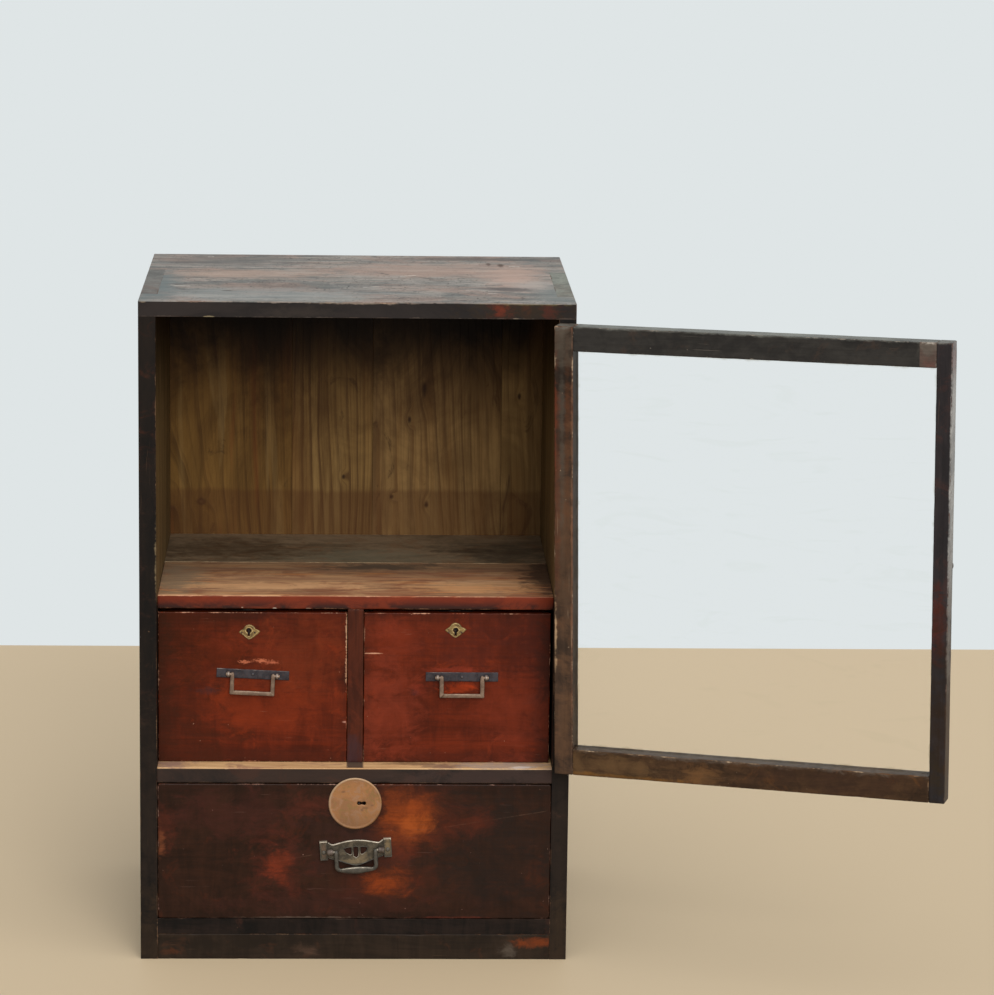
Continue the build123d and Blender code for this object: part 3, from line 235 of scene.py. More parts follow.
def lacquered(name, low, high, grain, dark, light, thin, bare, reach=0.0012, share=0.55, patches=(), seed=0.0,
              local=None, gloss=0.4, scratches=0.35, specular=0.1, cover=0.1, specks=0.6, lines=0.25,
              strokes=(), rim_darkening=0.0, lining=None):
    """Old lacquer on softwood. Grain and broad clouds move the colour between dark and light,
    thin places let the red ground through, it is darker near the rim, the patches are worn
    places and places of painted shade and shadow, each with its own colour, a lining is a face
    that was never lacquered and goes near black towards the top as painted shade, small specks
    and scratches are chipped out, and the arrises are rubbed to bare wood."""
    coat = Finish(name)
    if local:
        coat.turn_to(*local)
    fine = coat.cloud(along(grain, 6.0, 380.0), 5.0, 0.6, 0.3, shift=(seed, seed * 1.7, 2.0))
    broad = coat.cloud(along(grain, 7.0, 24.0), 5.0, 0.66, 1.2, shift=(seed * 2.3, 1.0, seed))
    mottled = coat.cloud((34.0, 34.0, 13.0) if grain == 2 else (30.0, 30.0, 30.0), 6.0, 0.7, 0.8,
                         shift=(1.0, seed, seed * 3.1))
    brushed = coat.cloud(along(2 if grain == 0 else grain, 16.0, 90.0), 4.0, 0.6, 0.8, shift=(seed, 6.0, 1.0))
    clouds = coat.sum("MULTIPLY_ADD", brushed, 0.35, coat.sum("MULTIPLY", broad, 0.65))
    colour = coat.blend(coat.band(clouds, 0.36, 0.64), dark, light)
    colour = coat.blend(coat.both(coat.band(fine, 0.46, 0.75), lines), colour, dye(16, 11, 9))
    colour = coat.blend(coat.both(coat.band(mottled, share, share + 0.12), 0.6), colour, thin)
    worn = coat.arris(low, high, reach, cover)
    if rim_darkening:
        near_rim = coat.band(coat.sum("MULTIPLY_ADD", mottled, 0.03, coat.rim), 0.036, 0.012)
        colour = coat.blend(coat.both(near_rim, rim_darkening), colour, dye(30, 17, 11))
    for start, end, width, tint, strength in strokes:
        colour = coat.blend(coat.both(coat.scratch(start, end, width), strength), colour, tint)
    for centre, half, tint, strength, *edge in patches:
        place = coat.patch(centre, half, *edge) if edge != [0.0] else coat.block(centre, half)
        streaked = coat.sum("MULTIPLY", place, coat.band(fine, 0.2, 0.6, 0.6, 1.0))
        streaked = coat.sum("MULTIPLY", streaked, coat.band(mottled, 0.35, 0.62, 0.5, 1.0))
        colour = coat.blend(coat.both(streaked, strength), colour, tint)
    if lining:
        centre, half, pale, deep = lining
        rays = coat.cloud(along(grain, 3.0, 64.0), 5.0, 0.62, 0.8, shift=(seed, 2.0, 8.0))
        wood = coat.blend(coat.band(rays, 0.36, 0.64), deep, pale)
        wood = coat.blend(coat.both(coat.band(fine, 0.44, 0.72), 0.5), wood, dye(58, 40, 22))
        # Painted shade: the unlacquered inside face goes near black towards the top, under the ceiling.
        height = coat.sum("MULTIPLY_ADD", mottled, 0.12, coat.part(coat.place, 2))
        wood = coat.blend(coat.both(coat.band(height, 0.6, 0.74), 0.9), wood, dye(22, 13, 7))
        colour = coat.blend(coat.block(centre, half, 0.0009), colour, wood)
    marks = coat.cloud(along(grain, 11.0, 640.0), 2.0, 0.5, 1.6, shift=(seed, 9.0, seed))
    places = coat.cloud((18.0, 18.0, 18.0), 2.0, shift=(seed, 4.0, 7.0))
    scratched = coat.both(coat.both(coat.band(marks, 0.69, 0.74), coat.band(places, 0.54, 0.62)), scratches)
    colour = coat.blend(scratched, colour, bare)
    grit = coat.cloud((330.0, 330.0, 330.0), 1.0, 0.5, shift=(seed, 2.0, 5.0))
    colour = coat.blend(coat.both(coat.band(grit, 0.785, 0.81), specks), colour, bare)
    colour = coat.blend(coat.both(worn, 0.9), colour, coat.blend(coat.band(mottled, 0.4, 0.6), bare, thin))
    rough = coat.sum("MULTIPLY_ADD", mottled, 0.22, gloss - 0.1)
    rough = coat.sum("MULTIPLY_ADD", worn, 0.25, rough)
    coat.relief(broad, 0.0003)
    coat.relief(fine, 0.00006)
    coat.relief(coat.sum("SUBTRACT", 1.0, worn), 0.0003)
    return coat.close(colour, rough, specular=specular)


def finish(node, material):
    """Lays one finish on a node of the frame, over all of its slots."""
    for slot in nodes[node].material_slots:
        slot.material = material
    if not nodes[node].material_slots:
        nodes[node].data.materials.append(material)


def edge_of(node, end, axis):
    """Where a piece of the frame begins (end 0) or ends (end
    1) along axis 0, 1 or 2, to a hundredth of a mm."""
    return round(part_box(node)[end][axis], 5)


case_top = edge_of("top_panel", 1, 2)
case_half = edge_of("right_side_panel", 1, 0)
inner_half = edge_of("right_side_panel", 0, 0)
old_black = dye(15, 12, 10)
old_brown = dye(29, 22, 17)
old_red = dye(60, 32, 22)
bare_wood = dye(118, 90, 66)
for node, seed, side in (("left_side_panel", 1.3, -1), ("right_side_panel", 6.1, 1)):
    low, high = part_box(node)
    finger_grey = dye(132 + 10 * side, 132 + 12 * side, 123 + 9 * side)
    finish(node, lacquered(
        node + "_lacquer", low, high, 2, old_black, old_brown, old_red, bare_wood, 0.001, 0.62, seed=seed,
        cover=-0.05, gloss=0.54,
        patches=(
            ((0.22 * side, 0.0, 0.16), (0.012, 0.03, 0.09), dye(48, 37, 29), 0.5),
            ((0.218 * side, 0.0, 0.02), (0.014, 0.03, 0.04), dye(56, 42, 29), 0.7),
            ((0.22 * side, 0.14, case_top), (0.03, 0.16, 0.0012), finger_grey, 0.97, 0.6, 60.0, 0.3),
            ((case_half * side, 0.2, 0.34), (0.03, 0.12, 0.2), dye(74, 50, 38), 0.5),
            ((case_half * side, 0.08, 0.6), (0.03, 0.05, 0.12), dye(96, 52, 34), 0.5),
            ((case_half * side, 0.3, 0.08), (0.03, 0.06, 0.06), dye(88, 62, 46), 0.5),
            ((inner_half * side, 0.008, 0.435), (0.0014, 0.014, 0.035), dye(150, 128, 94), 0.7),
        ),
        lining=((inner_half * side, 0.17, 0.5435), (0.0006, 0.1685, 0.149), dye(134, 110, 72),
                dye(92, 72, 44)),
    ))

# Top panel. One wide board, worn dull and grey where things stood on it, with the near-black
# lacquer left on its edges. It is notched for the fingers of the sides and nailed down.
low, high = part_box("top_panel")
top = Finish("top_panel_worn")
fine = top.cloud((9.0, 420.0, 420.0), 5.0, 0.6, 0.4)
streaks = top.cloud((5.0, 26.0, 10.0), 6.0, 0.68, 1.6, shift=(0.0, 4.0, 0.0))
clouds = top.cloud((9.0, 16.0, 20.0), 5.0, 0.66, 0.9, shift=(3.0, 0.0, 1.0))
blots = top.cloud((34.0, 50.0, 40.0), 5.0, 0.7, 0.8, shift=(1.0, 7.0, 1.0))
wiped = top.cloud((30.0, 52.0, 60.0), 6.0, 0.74, 1.8, shift=(6.0, 1.0, 2.0))
nicks = top.cloud((150.0, 80.0, 90.0), 2.0, 0.5, 3.0, shift=(3.0, 9.0, 1.0))
drawn = top.cloud((4.0, 70.0, 30.0), 5.0, 0.66, 1.0, shift=(5.0, 2.0, 3.0))
face = top.blend(top.band(streaks, 0.38, 0.62), dye(99, 101, 98), dye(158, 150, 140))
face = top.blend(top.both(top.band(clouds, 0.47, 0.62), 0.7), face, dye(158, 134, 121))
face = top.blend(top.both(top.band(blots, 0.54, 0.66), 0.5), face, dye(92, 88, 83))
face = top.blend(top.both(top.band(wiped, 0.52, 0.64), 0.45), face, dye(177, 167, 158))
face = top.blend(top.both(top.band(wiped, 0.47, 0.36), 0.6), face, dye(94, 93, 91))
face = top.blend(top.both(top.band(drawn, 0.52, 0.66), 0.4), face, dye(75, 71, 67))
face = top.blend(top.both(top.band(drawn, 0.46, 0.34), 0.4), face, dye(187, 177, 168))
face = top.blend(top.both(top.band(fine, 0.5, 0.8), 0.4), face, dye(71, 62, 56))
face = top.blend(top.both(top.band(nicks, 0.63, 0.66), 0.8), face, dye(56, 51, 48))
face = top.worn_and_shaded_places(face, (
    ((-0.1, 0.05, case_top), (0.12, 0.04, 0.02), dye(144, 147, 143), 0.6),
    ((0.168, 0.19, case_top), (0.03, 0.08, 0.02), dye(186, 156, 140), 0.7),
    ((0.168, 0.17, case_top), (0.014, 0.02, 0.02), dye(190, 160, 144), 0.4),
    ((0.08, 0.24, case_top), (0.1, 0.045, 0.02), dye(177, 150, 134), 0.6),
    ((-0.12, 0.2, case_top), (0.08, 0.03, 0.02), dye(180, 152, 134), 0.6),
    ((0.158, 0.279, case_top), (0.003, 0.012, 0.01), dye(75, 57, 47), 0.9),
    ((0.145, 0.285, case_top), (0.002, 0.01, 0.01), dye(83, 62, 52), 0.8),
    ((0.162, 0.1, case_top), (0.025, 0.012, 0.01), dye(83, 77, 75), 0.85),
    ((0.12, 0.33, case_top), (0.08, 0.012, 0.01), dye(88, 82, 78), 0.7),
    ((0.19, 0.13, case_top), (0.02, 0.03, 0.01), dye(177, 167, 158), 0.6),
    ((-0.137, 0.075, case_top), (0.006, 0.0018, 0.01), dye(36, 30, 26), 0.95),
    ((-0.215, 0.1, case_top), (0.022, 0.12, 0.02), dye(103, 112, 111), 0.85),
    ((0.21, 0.06, case_top), (0.02, 0.06, 0.02), dye(116, 122, 119), 0.7),
    ((-0.15, 0.3, case_top), (0.07, 0.04, 0.02), dye(99, 95, 91), 0.6),
), 1.6)
chance = np.random.default_rng(17)
for index in range(16):
    start = np.array([chance.uniform(-0.2, 0.2), chance.uniform(0.02, 0.33), case_top])
    turned_by = chance.uniform(-0.9, 0.9)
    end = start + chance.uniform(0.006, 0.028) * np.array([math.cos(turned_by), math.sin(turned_by), 0])
    scratch_colour = dye(54, 47, 44) if index % 3 else dye(225, 216, 204)
    face = top.blend(top.both(top.scratch(start, end, 0.0016), 0.75), face, scratch_colour)
edge = top.blend(top.band(streaks, 0.3, 0.7), dye(27, 23, 22), dye(44, 37, 34))
edge = top.worn_and_shaded_places(edge, (
    ((0.175, 0.0, 0.703), (0.045, 0.02, 0.009), dye(46, 34, 20), 0.7),
    ((0.149, 0.0, 0.7035), (0.009, 0.02, 0.007), dye(78, 34, 21), 0.7),
    ((0.149, 0.0, 0.7045), (0.006, 0.02, 0.005), dye(112, 46, 26), 0.6),
    ((0.175, 0.0, 0.705), (0.004, 0.02, 0.006), dye(70, 38, 22), 0.55),
    ((0.2, 0.0, 0.7035), (0.008, 0.02, 0.006), dye(80, 36, 24), 0.7),
    ((0.18, 0.0, 0.7105), (0.03, 0.02, 0.0012), dye(124, 112, 76), 0.6),
    ((0.004, 0.0, 0.7105), (0.034, 0.003, 0.0012), dye(164, 144, 126), 0.7),
    ((-0.06, 0.0, 0.7), (0.03, 0.02, 0.004), dye(52, 44, 38), 0.6),
), 2.6, 150.0, 0.9)
edge = top.worn_and_shaded_places(edge, (
    ((-0.154, 0.0, 0.6947), (0.0055, 0.003, 0.0009), dye(138, 124, 92), 0.85),
    ((0.1645, 0.0, 0.6951), (0.003, 0.003, 0.0006), dye(110, 96, 78), 0.85),
    ((-0.2225, 0.0, 0.7098), (0.003, 0.003, 0.0009), dye(120, 104, 84), 0.85),
    ((-0.03, 0.0, 0.7105), (0.006, 0.003, 0.0008), dye(176, 152, 128), 0.85),
    ((0.03, 0.0, 0.7105), (0.01, 0.003, 0.0008), dye(186, 150, 118), 0.85),
), 0.8, 400.0, 0.3)
height = top.part(top.place, 2)
colour = top.blend(top.band(height, 0.7098, 0.7106), edge, face)
worn = top.both(top.arris(low, high, 0.0012, 0.4), top.band(height, 0.7, 0.708, 0.25, 1.0))
bared = top.blend(top.band(clouds, 0.4, 0.62), dye(142, 128, 116), dye(112, 84, 66))
colour = top.blend(top.both(worn, 0.75), colour, bared)
top.relief(streaks, 0.0003)
top.relief(blots, 0.0001)
top.relief(fine, 0.00006)
top.relief(top.sum("SUBTRACT", 1.0, worn), 0.0003)
dullness = top.sum("MULTIPLY_ADD", clouds, 0.2, top.band(height, 0.7098, 0.7106, 0.46, 0.54))
finish("top_panel", top.close(colour, dullness, specular=0.14))

# Floor panel and plinth. The floor is housed in the sides, and the plinth
# board stands under its front edge, down to the ground. Feet and brooms have
# rubbed the plinth's lower arris and left an orange place at its right end.
low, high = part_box("floor_panel")
finish("floor_panel", lacquered(
    "floor_panel_lacquer", low, high, 0, old_black, dye(38, 28, 23), dye(58, 34, 25), dye(84, 64, 50), 0.0007,
    0.6, seed=3.4, cover=-0.1,
))


def rough_line(count, seed, width):
    """A random line of numbers 0 to 1: seeded random numbers,
    smoothed by a raised-cosine window of that width."""
    window = np.hanning(width + 2)[1:-1]
    line = np.convolve(np.random.default_rng(seed).random(count + width), window / window.sum(), "same")
    line = line[width // 2: width // 2 + count]
    return (line - line.min()) / (line.max() - line.min())


def worn_board(low, high, grain, arris, wear, seed, pitch=0.0025):
    """The skin of a worn board between two corners, as rows round it. Each row is
    a rectangle with quarter-circle corners; a corner's radius is its arris plus a
    chip, which is the smoothed random line above 0.6, squared. The faces dip a
    little along the board, and the two ends close in on a quarter circle."""
    low, high = np.array(low), np.array(high)
    across = [k for k in range(3) if k != grain]
    length = high[grain] - low[grain]
    half = (high - low)[across] / 2
    middle = (high + low)[across] / 2
    arris = np.broadcast_to(np.array(arris, float), (4,))
    round_off = arris.max() * 0.8
    turn = np.linspace(0, np.pi / 2, 4)
    start = round_off * (1 - np.cos(turn))
    steps = max(int((length - 2 * round_off) / pitch), 8)
    run = np.linspace(round_off, length - round_off, steps)[1:-1]
    place = np.concatenate([start, run, length - start[::-1]])
    inset = np.concatenate([round_off * (1 - np.sin(turn)), np.zeros(len(run)),
                            round_off * (1 - np.sin(turn))[::-1]])
    rows = len(place)
    angle = np.linspace(0, np.pi / 2, 5)
    points = []
    for corner, (side, rise) in enumerate(((1, 1), (-1, 1), (-1, -1), (1, -1))):
        chip = np.clip(rough_line(rows, seed * 10 + corner, 9) - 0.6, 0, 1) ** 2 * 6 * wear
        radius = np.minimum(arris[corner] + chip, half.min() * 0.9)
        dip = 0.00012 * rough_line(rows, seed * 10 + corner + 5, 31)
        reach = half[None, :] - inset[:, None] - dip[:, None]
        radius = np.minimum(radius, reach.min(1) * 0.98)
        phase = angle + corner * np.pi / 2
        centre = (reach - radius[:, None]) * np.array([side, rise])
        arc = centre[:, None, :] + radius[:, None, None] * np.stack([np.cos(phase), np.sin(phase)], -1)[None]
        points.append(arc)
    flats = []
    for corner in range(4):
        here, there = points[corner][:, -1], points[(corner + 1) % 4][:, 0]
        share = np.minimum(0.0012 / np.linalg.norm(there - here, axis=1), 0.3)[:, None, None]
        share = np.concatenate([share, np.full_like(share, 0.5), 1 - share], 1)
        flats.append(here[:, None] * (1 - share) + there[:, None] * share)
    section = np.concatenate([part for pair in zip(points, flats) for part in pair], 1)
    grid = np.zeros((rows, section.shape[1], 3))
    grid[..., grain] = (low[grain] + place)[:, None]
    grid[..., across] = section + middle
    return grid


def skin(name, grids, body, material, ring=False, marks=None, smooth=True):
    """A closed mesh over one or more grids of rows: neighbouring rows are joined by four-cornered
    faces, and the first and last rows are filled, or joined to each other in a ring. The signed volume,
    a sum of triple products, says whether the faces point inwards, and then they are turned."""
    places, faces, values = [], [], []
    base = 0
    for index, grid in enumerate(grids):
        rows, around = grid.shape[:2]
        i = np.arange(rows if ring else rows - 1)[:, None]
        j = np.arange(around)[None, :]
        near, far = j, (j + 1) % around
        quads = np.stack(np.broadcast_arrays(i * around + near, i * around + far,
                                             (i + 1) % rows * around + far, (i + 1) % rows * around + near),
                         -1).reshape(-1, 4)
        flat = grid.reshape(-1, 3)
        triples = np.concatenate([quads[:, [0, 1, 2]], quads[:, [0, 2, 3]]])
        ends = []
        if not ring:
            loop = np.arange(around)
            ends = [loop[::-1], loop + (rows - 1) * around]
            fans = [np.stack([np.full(around - 2, end[0]), end[1:-1], end[2:]], -1) for end in ends]
            triples = np.concatenate([triples, *fans])
        a, b, c = (flat[triples[:, k]] - flat.mean(0) for k in range(3))
        inward = np.einsum("ij,ij->i", a, np.cross(b, c)).sum() < 0
        made = [face for face in quads] + ends
        faces += [(face[::-1] if inward else face) + base for face in made]
        places.append(flat)
        values.append(np.zeros(len(flat)) if marks is None else marks[index].reshape(-1))
        base += len(flat)
    mesh = bpy.data.meshes.new(name)
    mesh.from_pydata(np.concatenate(places).tolist(), [], [face.tolist() for face in faces])
    mesh.polygons.foreach_set("use_smooth", np.array([smooth and len(face) == 4 for face in faces]))
    attribute = mesh.attributes.new("wear_and_highlight", "FLOAT", "POINT")
    attribute.data.foreach_set("value", np.concatenate(values).astype(np.float32))
    mesh.update()
    piece = bpy.data.objects.new(name, mesh)
    bpy.context.scene.collection.objects.link(piece)
    mesh.materials.append(material)
    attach(piece, body)
    return piece


def pocketed(piece, pockets):
    """Takes square pockets out of a piece, each given by its low and high
    corner: an exact boolean with a box whose corners are all the choices of low
    or high along the three axes, and the result is the piece's own mesh."""
    tools = []
    for low, high in pockets:
        pick = np.array([(k & 1, k >> 1 & 1, k >> 2) for k in range(8)])
        corners = np.where(pick, np.array(high), np.array(low))
        tool = bpy.data.meshes.new("pocket")
        tool.from_pydata(corners.tolist(), [], [(0, 2, 3, 1), (4, 5, 7, 6), (0, 1, 5, 4), (2, 6, 7, 3),
                                                (0, 4, 6, 2), (1, 3, 7, 5)])
        tools.append(bpy.data.objects.new("pocket", tool))
        bpy.context.scene.collection.objects.link(tools[-1])
        cut = piece.modifiers.new("pocket", "BOOLEAN")
        cut.operation, cut.solver, cut.object = "DIFFERENCE", "EXACT", tools[-1]
    bpy.context.view_layer.update()
    whole = piece.data
    piece.data = bpy.data.meshes.new_from_object(piece.evaluated_get(bpy.context.evaluated_depsgraph_get()))
    piece.modifiers.clear()
    bpy.data.meshes.remove(whole)
    for tool in tools:
        mesh = tool.data
        bpy.data.objects.remove(tool)
        bpy.data.meshes.remove(mesh)


low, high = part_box("plinth_board")
plinth_lacquer = lacquered(
    "plinth_lacquer", low, high, 0, dye(33, 25, 18), dye(50, 38, 28), dye(64, 40, 26), dye(104, 80, 60),
    0.001, 0.58, seed=7.7, cover=0.0,
    patches=(
        ((0.191, 0.0, 0.0182), (0.018, 0.02, 0.0046), dye(122, 56, 24), 0.75),
        ((0.167, 0.0, 0.0115), (0.007, 0.02, 0.006), dye(96, 84, 72), 0.7),
        ((-0.189, 0.0, 0.008), (0.01, 0.02, 0.0035), dye(92, 50, 28), 0.7),
        ((-0.05, 0.0, 0.01), (0.012, 0.02, 0.005), dye(86, 64, 50), 0.6),
    ),
)
plinth = skin("worn_plinth", [worn_board(low, high, 0, 0.0008, 0.0012, 11)], "case",
              plinth_lacquer)
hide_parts("plinth_board")

# Back boards. Four upright boards of cedar, half-lapped and nailed into the
# rabbet, unfinished inside and gone honey brown. Growth rings run up them,
# in arches where a board was cut off the middle, with a few small knots.


def cedar(name, seed, light, dark, ring, knots=(), arch=None, line=0.5, warm=dye(112, 74, 34)):
    """Old cedar with upright grain. The rings are a saw wave across the board, whose places are
    pushed sideways by slow noise, and by an arch that follows the square of the distance from
    the board's middle; each ring is pale early wood that ends in a thin dark line, with fainter
    lines between. Broad streaks are warmer or paler, knots pull the rings aside and are dark,
    painted shade darkens the inside towards the ceiling and in the corner by the right side, and
    damp has reddened it near the shelf."""
    wood = Finish(name)
    push = wood.cloud((9.0, 9.0, 1.6), 3.0, 0.5, 0.0, shift=(seed, 0.0, seed * 1.3))
    wander = wood.cloud((60.0, 60.0, 9.0), 3.0, 0.5, 0.0, shift=(0.0, seed, 2.0))
    x, y, z = (wood.part(wood.place, axis) for axis in range(3))
    shifted = wood.sum("MULTIPLY_ADD", push, 0.06, x)
    shifted = wood.sum("MULTIPLY_ADD", wander, 0.003, shifted)
    if arch is not None:
        from_middle = wood.sum("SUBTRACT", x, arch)
        square = wood.sum("MULTIPLY", from_middle, from_middle)
        shifted = wood.sum("MULTIPLY_ADD", square, 3.4, wood.sum("MULTIPLY_ADD", z, 0.06, shifted))
    for centre, half in knots:
        swirl = wood.patch(centre, tuple(2.6 * v for v in half), 0.2, 40.0, 0.95)
        shifted = wood.sum("MULTIPLY_ADD", swirl, 0.005, shifted)
    phase = wood.sum("FRACT", wood.sum("MULTIPLY", shifted, ring))
    late = wood.sum("MULTIPLY", wood.band(phase, 0.55, 0.92), wood.band(phase, 1.0, 0.95))
    between = wood.sum("FRACT", wood.sum("MULTIPLY", shifted, ring * 2.7))
    between = wood.sum("MULTIPLY", wood.band(between, 0.6, 0.93), wood.band(between, 1.0, 0.95))
    fibre = wood.cloud((640.0, 640.0, 9.0), 4.0, 0.6, 0.0, shift=(seed, 1.0, 2.0))
    streaks = wood.cloud((90.0, 90.0, 4.0), 4.0, 0.6, 0.3, shift=(seed, 7.0, 2.0))
    clouds = wood.cloud((14.0, 14.0, 7.0), 5.0, 0.66, 0.9, shift=(seed, 3.0, 5.0))
    faded = wood.cloud((11.0, 11.0, 7.0), 3.0, 0.6, 0.4, shift=(3.0, seed, 5.0))
    colour = wood.blend(wood.band(clouds, 0.34, 0.66), light, wood.blend(0.55, light, dark))
    strength = wood.sum("MULTIPLY", wood.band(faded, 0.36, 0.62, 0.35, 1.0), line)
    colour = wood.blend(wood.both(late, strength), colour, dark)
    colour = wood.blend(wood.both(between, wood.sum("MULTIPLY", strength, 0.5)), colour, dark)
    broad = wood.cloud((30.0, 30.0, 2.2), 4.0, 0.62, 0.6, shift=(seed, 9.0, 2.0))
    colour = wood.blend(wood.both(wood.band(broad, 0.5, 0.64), 0.45), colour, warm)
    colour = wood.blend(wood.both(wood.band(broad, 0.44, 0.34), 0.35), colour, dye(164, 132, 80))
    colour = wood.blend(wood.both(wood.band(streaks, 0.5, 0.7), 0.5), colour, dark)
    smudges = wood.cloud((26.0, 26.0, 11.0), 5.0, 0.7, 1.6, shift=(3.0, 5.0, seed))
    colour = wood.blend(wood.both(wood.band(smudges, 0.6, 0.72), 0.6), colour, dye(48, 29, 14))
    colour = wood.blend(wood.both(wood.band(fibre, 0.48, 0.8), 0.4), colour, dark)
    for centre, half in knots:
        colour = wood.blend(wood.both(wood.patch(centre, half, 0.6, 160.0), 0.88), colour, dye(40, 24, 13))
        if half[0] > 0.004:
            heart = wood.patch(centre, tuple(0.62 * v for v in half), 0.5, 160.0)
            colour = wood.blend(wood.both(heart, 0.7), colour, dye(96, 66, 34))
    inside = wood.band(y, 0.3395, 0.3385)
    damp = wood.band(wood.sum("MULTIPLY_ADD", clouds, 0.012, z), 0.4545, 0.4475)
    colour = wood.blend(wood.both(wood.both(damp, inside), 0.45), colour, dye(76, 42, 18))
    # Painted shade under the ceiling, on the inside face only: warm brown lower down, near black towards the
    # top.
    ceiling_shade = wood.sum("MULTIPLY_ADD", clouds, 0.12, z)
    colour = wood.blend(wood.both(wood.both(wood.band(ceiling_shade, 0.53, 0.68), inside), 0.55), colour,
                        dye(64, 36, 15))
    colour = wood.blend(wood.both(wood.both(wood.band(ceiling_shade, 0.6, 0.705), inside), 0.97), colour,
                        dye(11, 5, 2))
    # Painted shade in the inside corner where the back meets the right side.
    corner = wood.band(wood.sum("MULTIPLY_ADD", streaks, 0.02, x), 0.2, 0.222)
    colour = wood.blend(wood.both(wood.both(corner, inside), 0.6), colour, dye(74, 50, 24))
    outside = wood.band(y, 0.3485, 0.3495)
    grey = wood.blend(wood.band(clouds, 0.35, 0.7), dye(104, 84, 66), dye(74, 58, 46))
    colour = wood.blend(wood.both(outside, 0.62), colour, grey)
    wood.relief(late, 0.00014)
    wood.relief(fibre, 0.00006)
    return wood.close(colour, wood.sum("MULTIPLY_ADD", clouds, 0.2, 0.5), specular=0.12)


finish("back_board_1", cedar("back_board_1_cedar", 2.0, dye(122, 88, 40), dye(58, 36, 13), 84.0, (
    ((-0.1746, 0.338, 0.4307), (0.005, 0.01, 0.0036)),
), -0.11, 0.72, dye(116, 66, 28)))
finish("back_board_2", cedar("back_board_2_cedar", 5.0, dye(140, 108, 60), dye(76, 50, 24), 105.0, (
    ((-0.0142, 0.338, 0.4605), (0.0018, 0.01, 0.0024)),
), None, 0.8))
finish("back_board_3", cedar("back_board_3_cedar", 9.0, dye(152, 118, 70), dye(80, 54, 29), 84.0, (
    ((0.0599, 0.338, 0.5266), (0.0018, 0.01, 0.0035)),
    ((0.08, 0.338, 0.4288), (0.0024, 0.01, 0.0034)),
    ((0.0403, 0.338, 0.4378), (0.002, 0.01, 0.0024)),
    ((0.0765, 0.338, 0.561), (0.0022, 0.01, 0.008)),
), 0.12, 0.6))
finish("back_board_4", cedar("back_board_4_cedar", 13.0, dye(158, 124, 74), dye(88, 62, 32), 96.0, (
    ((0.1838, 0.338, 0.5538), (0.0016, 0.01, 0.0032)),
), None, 0.65))

# Nails of the back. Cut iron nails with low, uneven hammered heads, rusted brown.


def old_iron(name, dark, mid, bright, rust, seed=0.0, metallic=0.75, mark_brightness=1.0, gloss=0.42):
    """Old iron. Fine and broad noise move it between dark scale and mid grey, rust lies in the
    low places, and the places that the piece's own mesh marks, rubbed wear and painted highlights, are bright
    metal."""
    iron = Finish(name)
    broad = iron.cloud((120.0, 120.0, 120.0), 4.0, 0.6, 0.4, shift=(seed, 1.0, 2.0))
    fine = iron.cloud((900.0, 900.0, 900.0), 4.0, 0.65, 0.0, shift=(1.0, seed, 4.0))
    colour = iron.blend(iron.band(broad, 0.35, 0.66), dark, mid)
    colour = iron.blend(iron.both(iron.band(fine, 0.5, 0.68), 0.6), colour, rust)
    bright_places = iron.sum("MULTIPLY", iron.wear_and_highlight(), iron.sum("MULTIPLY_ADD", fine, 0.8, 0.55))
    bright_places = iron.band(bright_places, 0.25, 0.95, 0.0, mark_brightness)
    colour = iron.blend(bright_places, colour, bright)
    rough = iron.sum("MULTIPLY_ADD", broad, 0.3, gloss)
    rough = iron.sum("MULTIPLY_ADD", bright_places, -0.16, rough)
    iron.relief(broad, 0.00025)
    iron.relief(fine, 0.00006)
    return iron.close(colour, rough, metallic)


def dome(centre, radius, rise, out, flat=0.55, around=14, lumps=0.0, seed=1):
    """A low rounded head: rings whose radius falls as the cosine and whose height
    grows as the sine of an angle from 0 to 78 degrees, on a short straight skirt;
    each ring is a circle about the direction out, a little uneven."""
    out = np.array(out, float) / np.linalg.norm(out)
    side = np.cross(out, (0, 0, 1.0)) if abs(out[2]) < 0.9 else np.cross(out, (1.0, 0, 0))
    side /= np.linalg.norm(side)
    other = np.cross(out, side)
    angle = np.linspace(0, np.radians(78), 6)
    ring = np.concatenate([[0.9, 1.0], np.cos(angle[1:])])
    level = np.concatenate([[0.0, (1 - flat) * 0.5],
                            (1 - flat) * 0.5 + (1 - (1 - flat) * 0.5) * np.sin(angle[1:])])
    turn = np.linspace(0, 2 * np.pi, around, endpoint=False)
    uneven = 1 + lumps * (np.random.default_rng(seed).random(around) - 0.5)
    spread = np.cos(turn)[:, None] * side + np.sin(turn)[:, None] * other
    return (np.array(centre) + (ring[:, None] * radius * uneven[None])[..., None] * spread[None]
            + (level * rise)[:, None, None] * out)


back_face = edge_of("back_board_1", 1, 1)
nail_across = (-0.19, -0.1, -0.045, 0.0, 0.045, 0.14, 0.19)
nail_heights = (0.0365, 0.20325, 0.38625, 0.6985)
side_nail_across = 0.2135
side_nail_heights = (0.11, 0.29, 0.47, 0.62)
nail_places = [(x, z) for x in nail_across for z in nail_heights]
nail_places += [(side * side_nail_across, z) for side in (-1, 1) for z in side_nail_heights]
rusty = old_iron("rusty_nail_iron", dye(46, 38, 34), dye(84, 62, 48), dye(130, 110, 94), dye(96, 52, 30),
                 metallic=0.5)
heads = [dome((x, back_face, z), 0.0025, 0.001, (0, 1, 0), 0.6, 12, 0.16, index + 3)
         for index, (x, z) in enumerate(nail_places)]
nail_marks = [np.linspace(0, 1, 7)[:, None] * np.ones((7, 12)) for _ in heads]
nails = skin("hammered_nail_heads", heads, "case", rusty, marks=nail_marks)
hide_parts("back_nails")

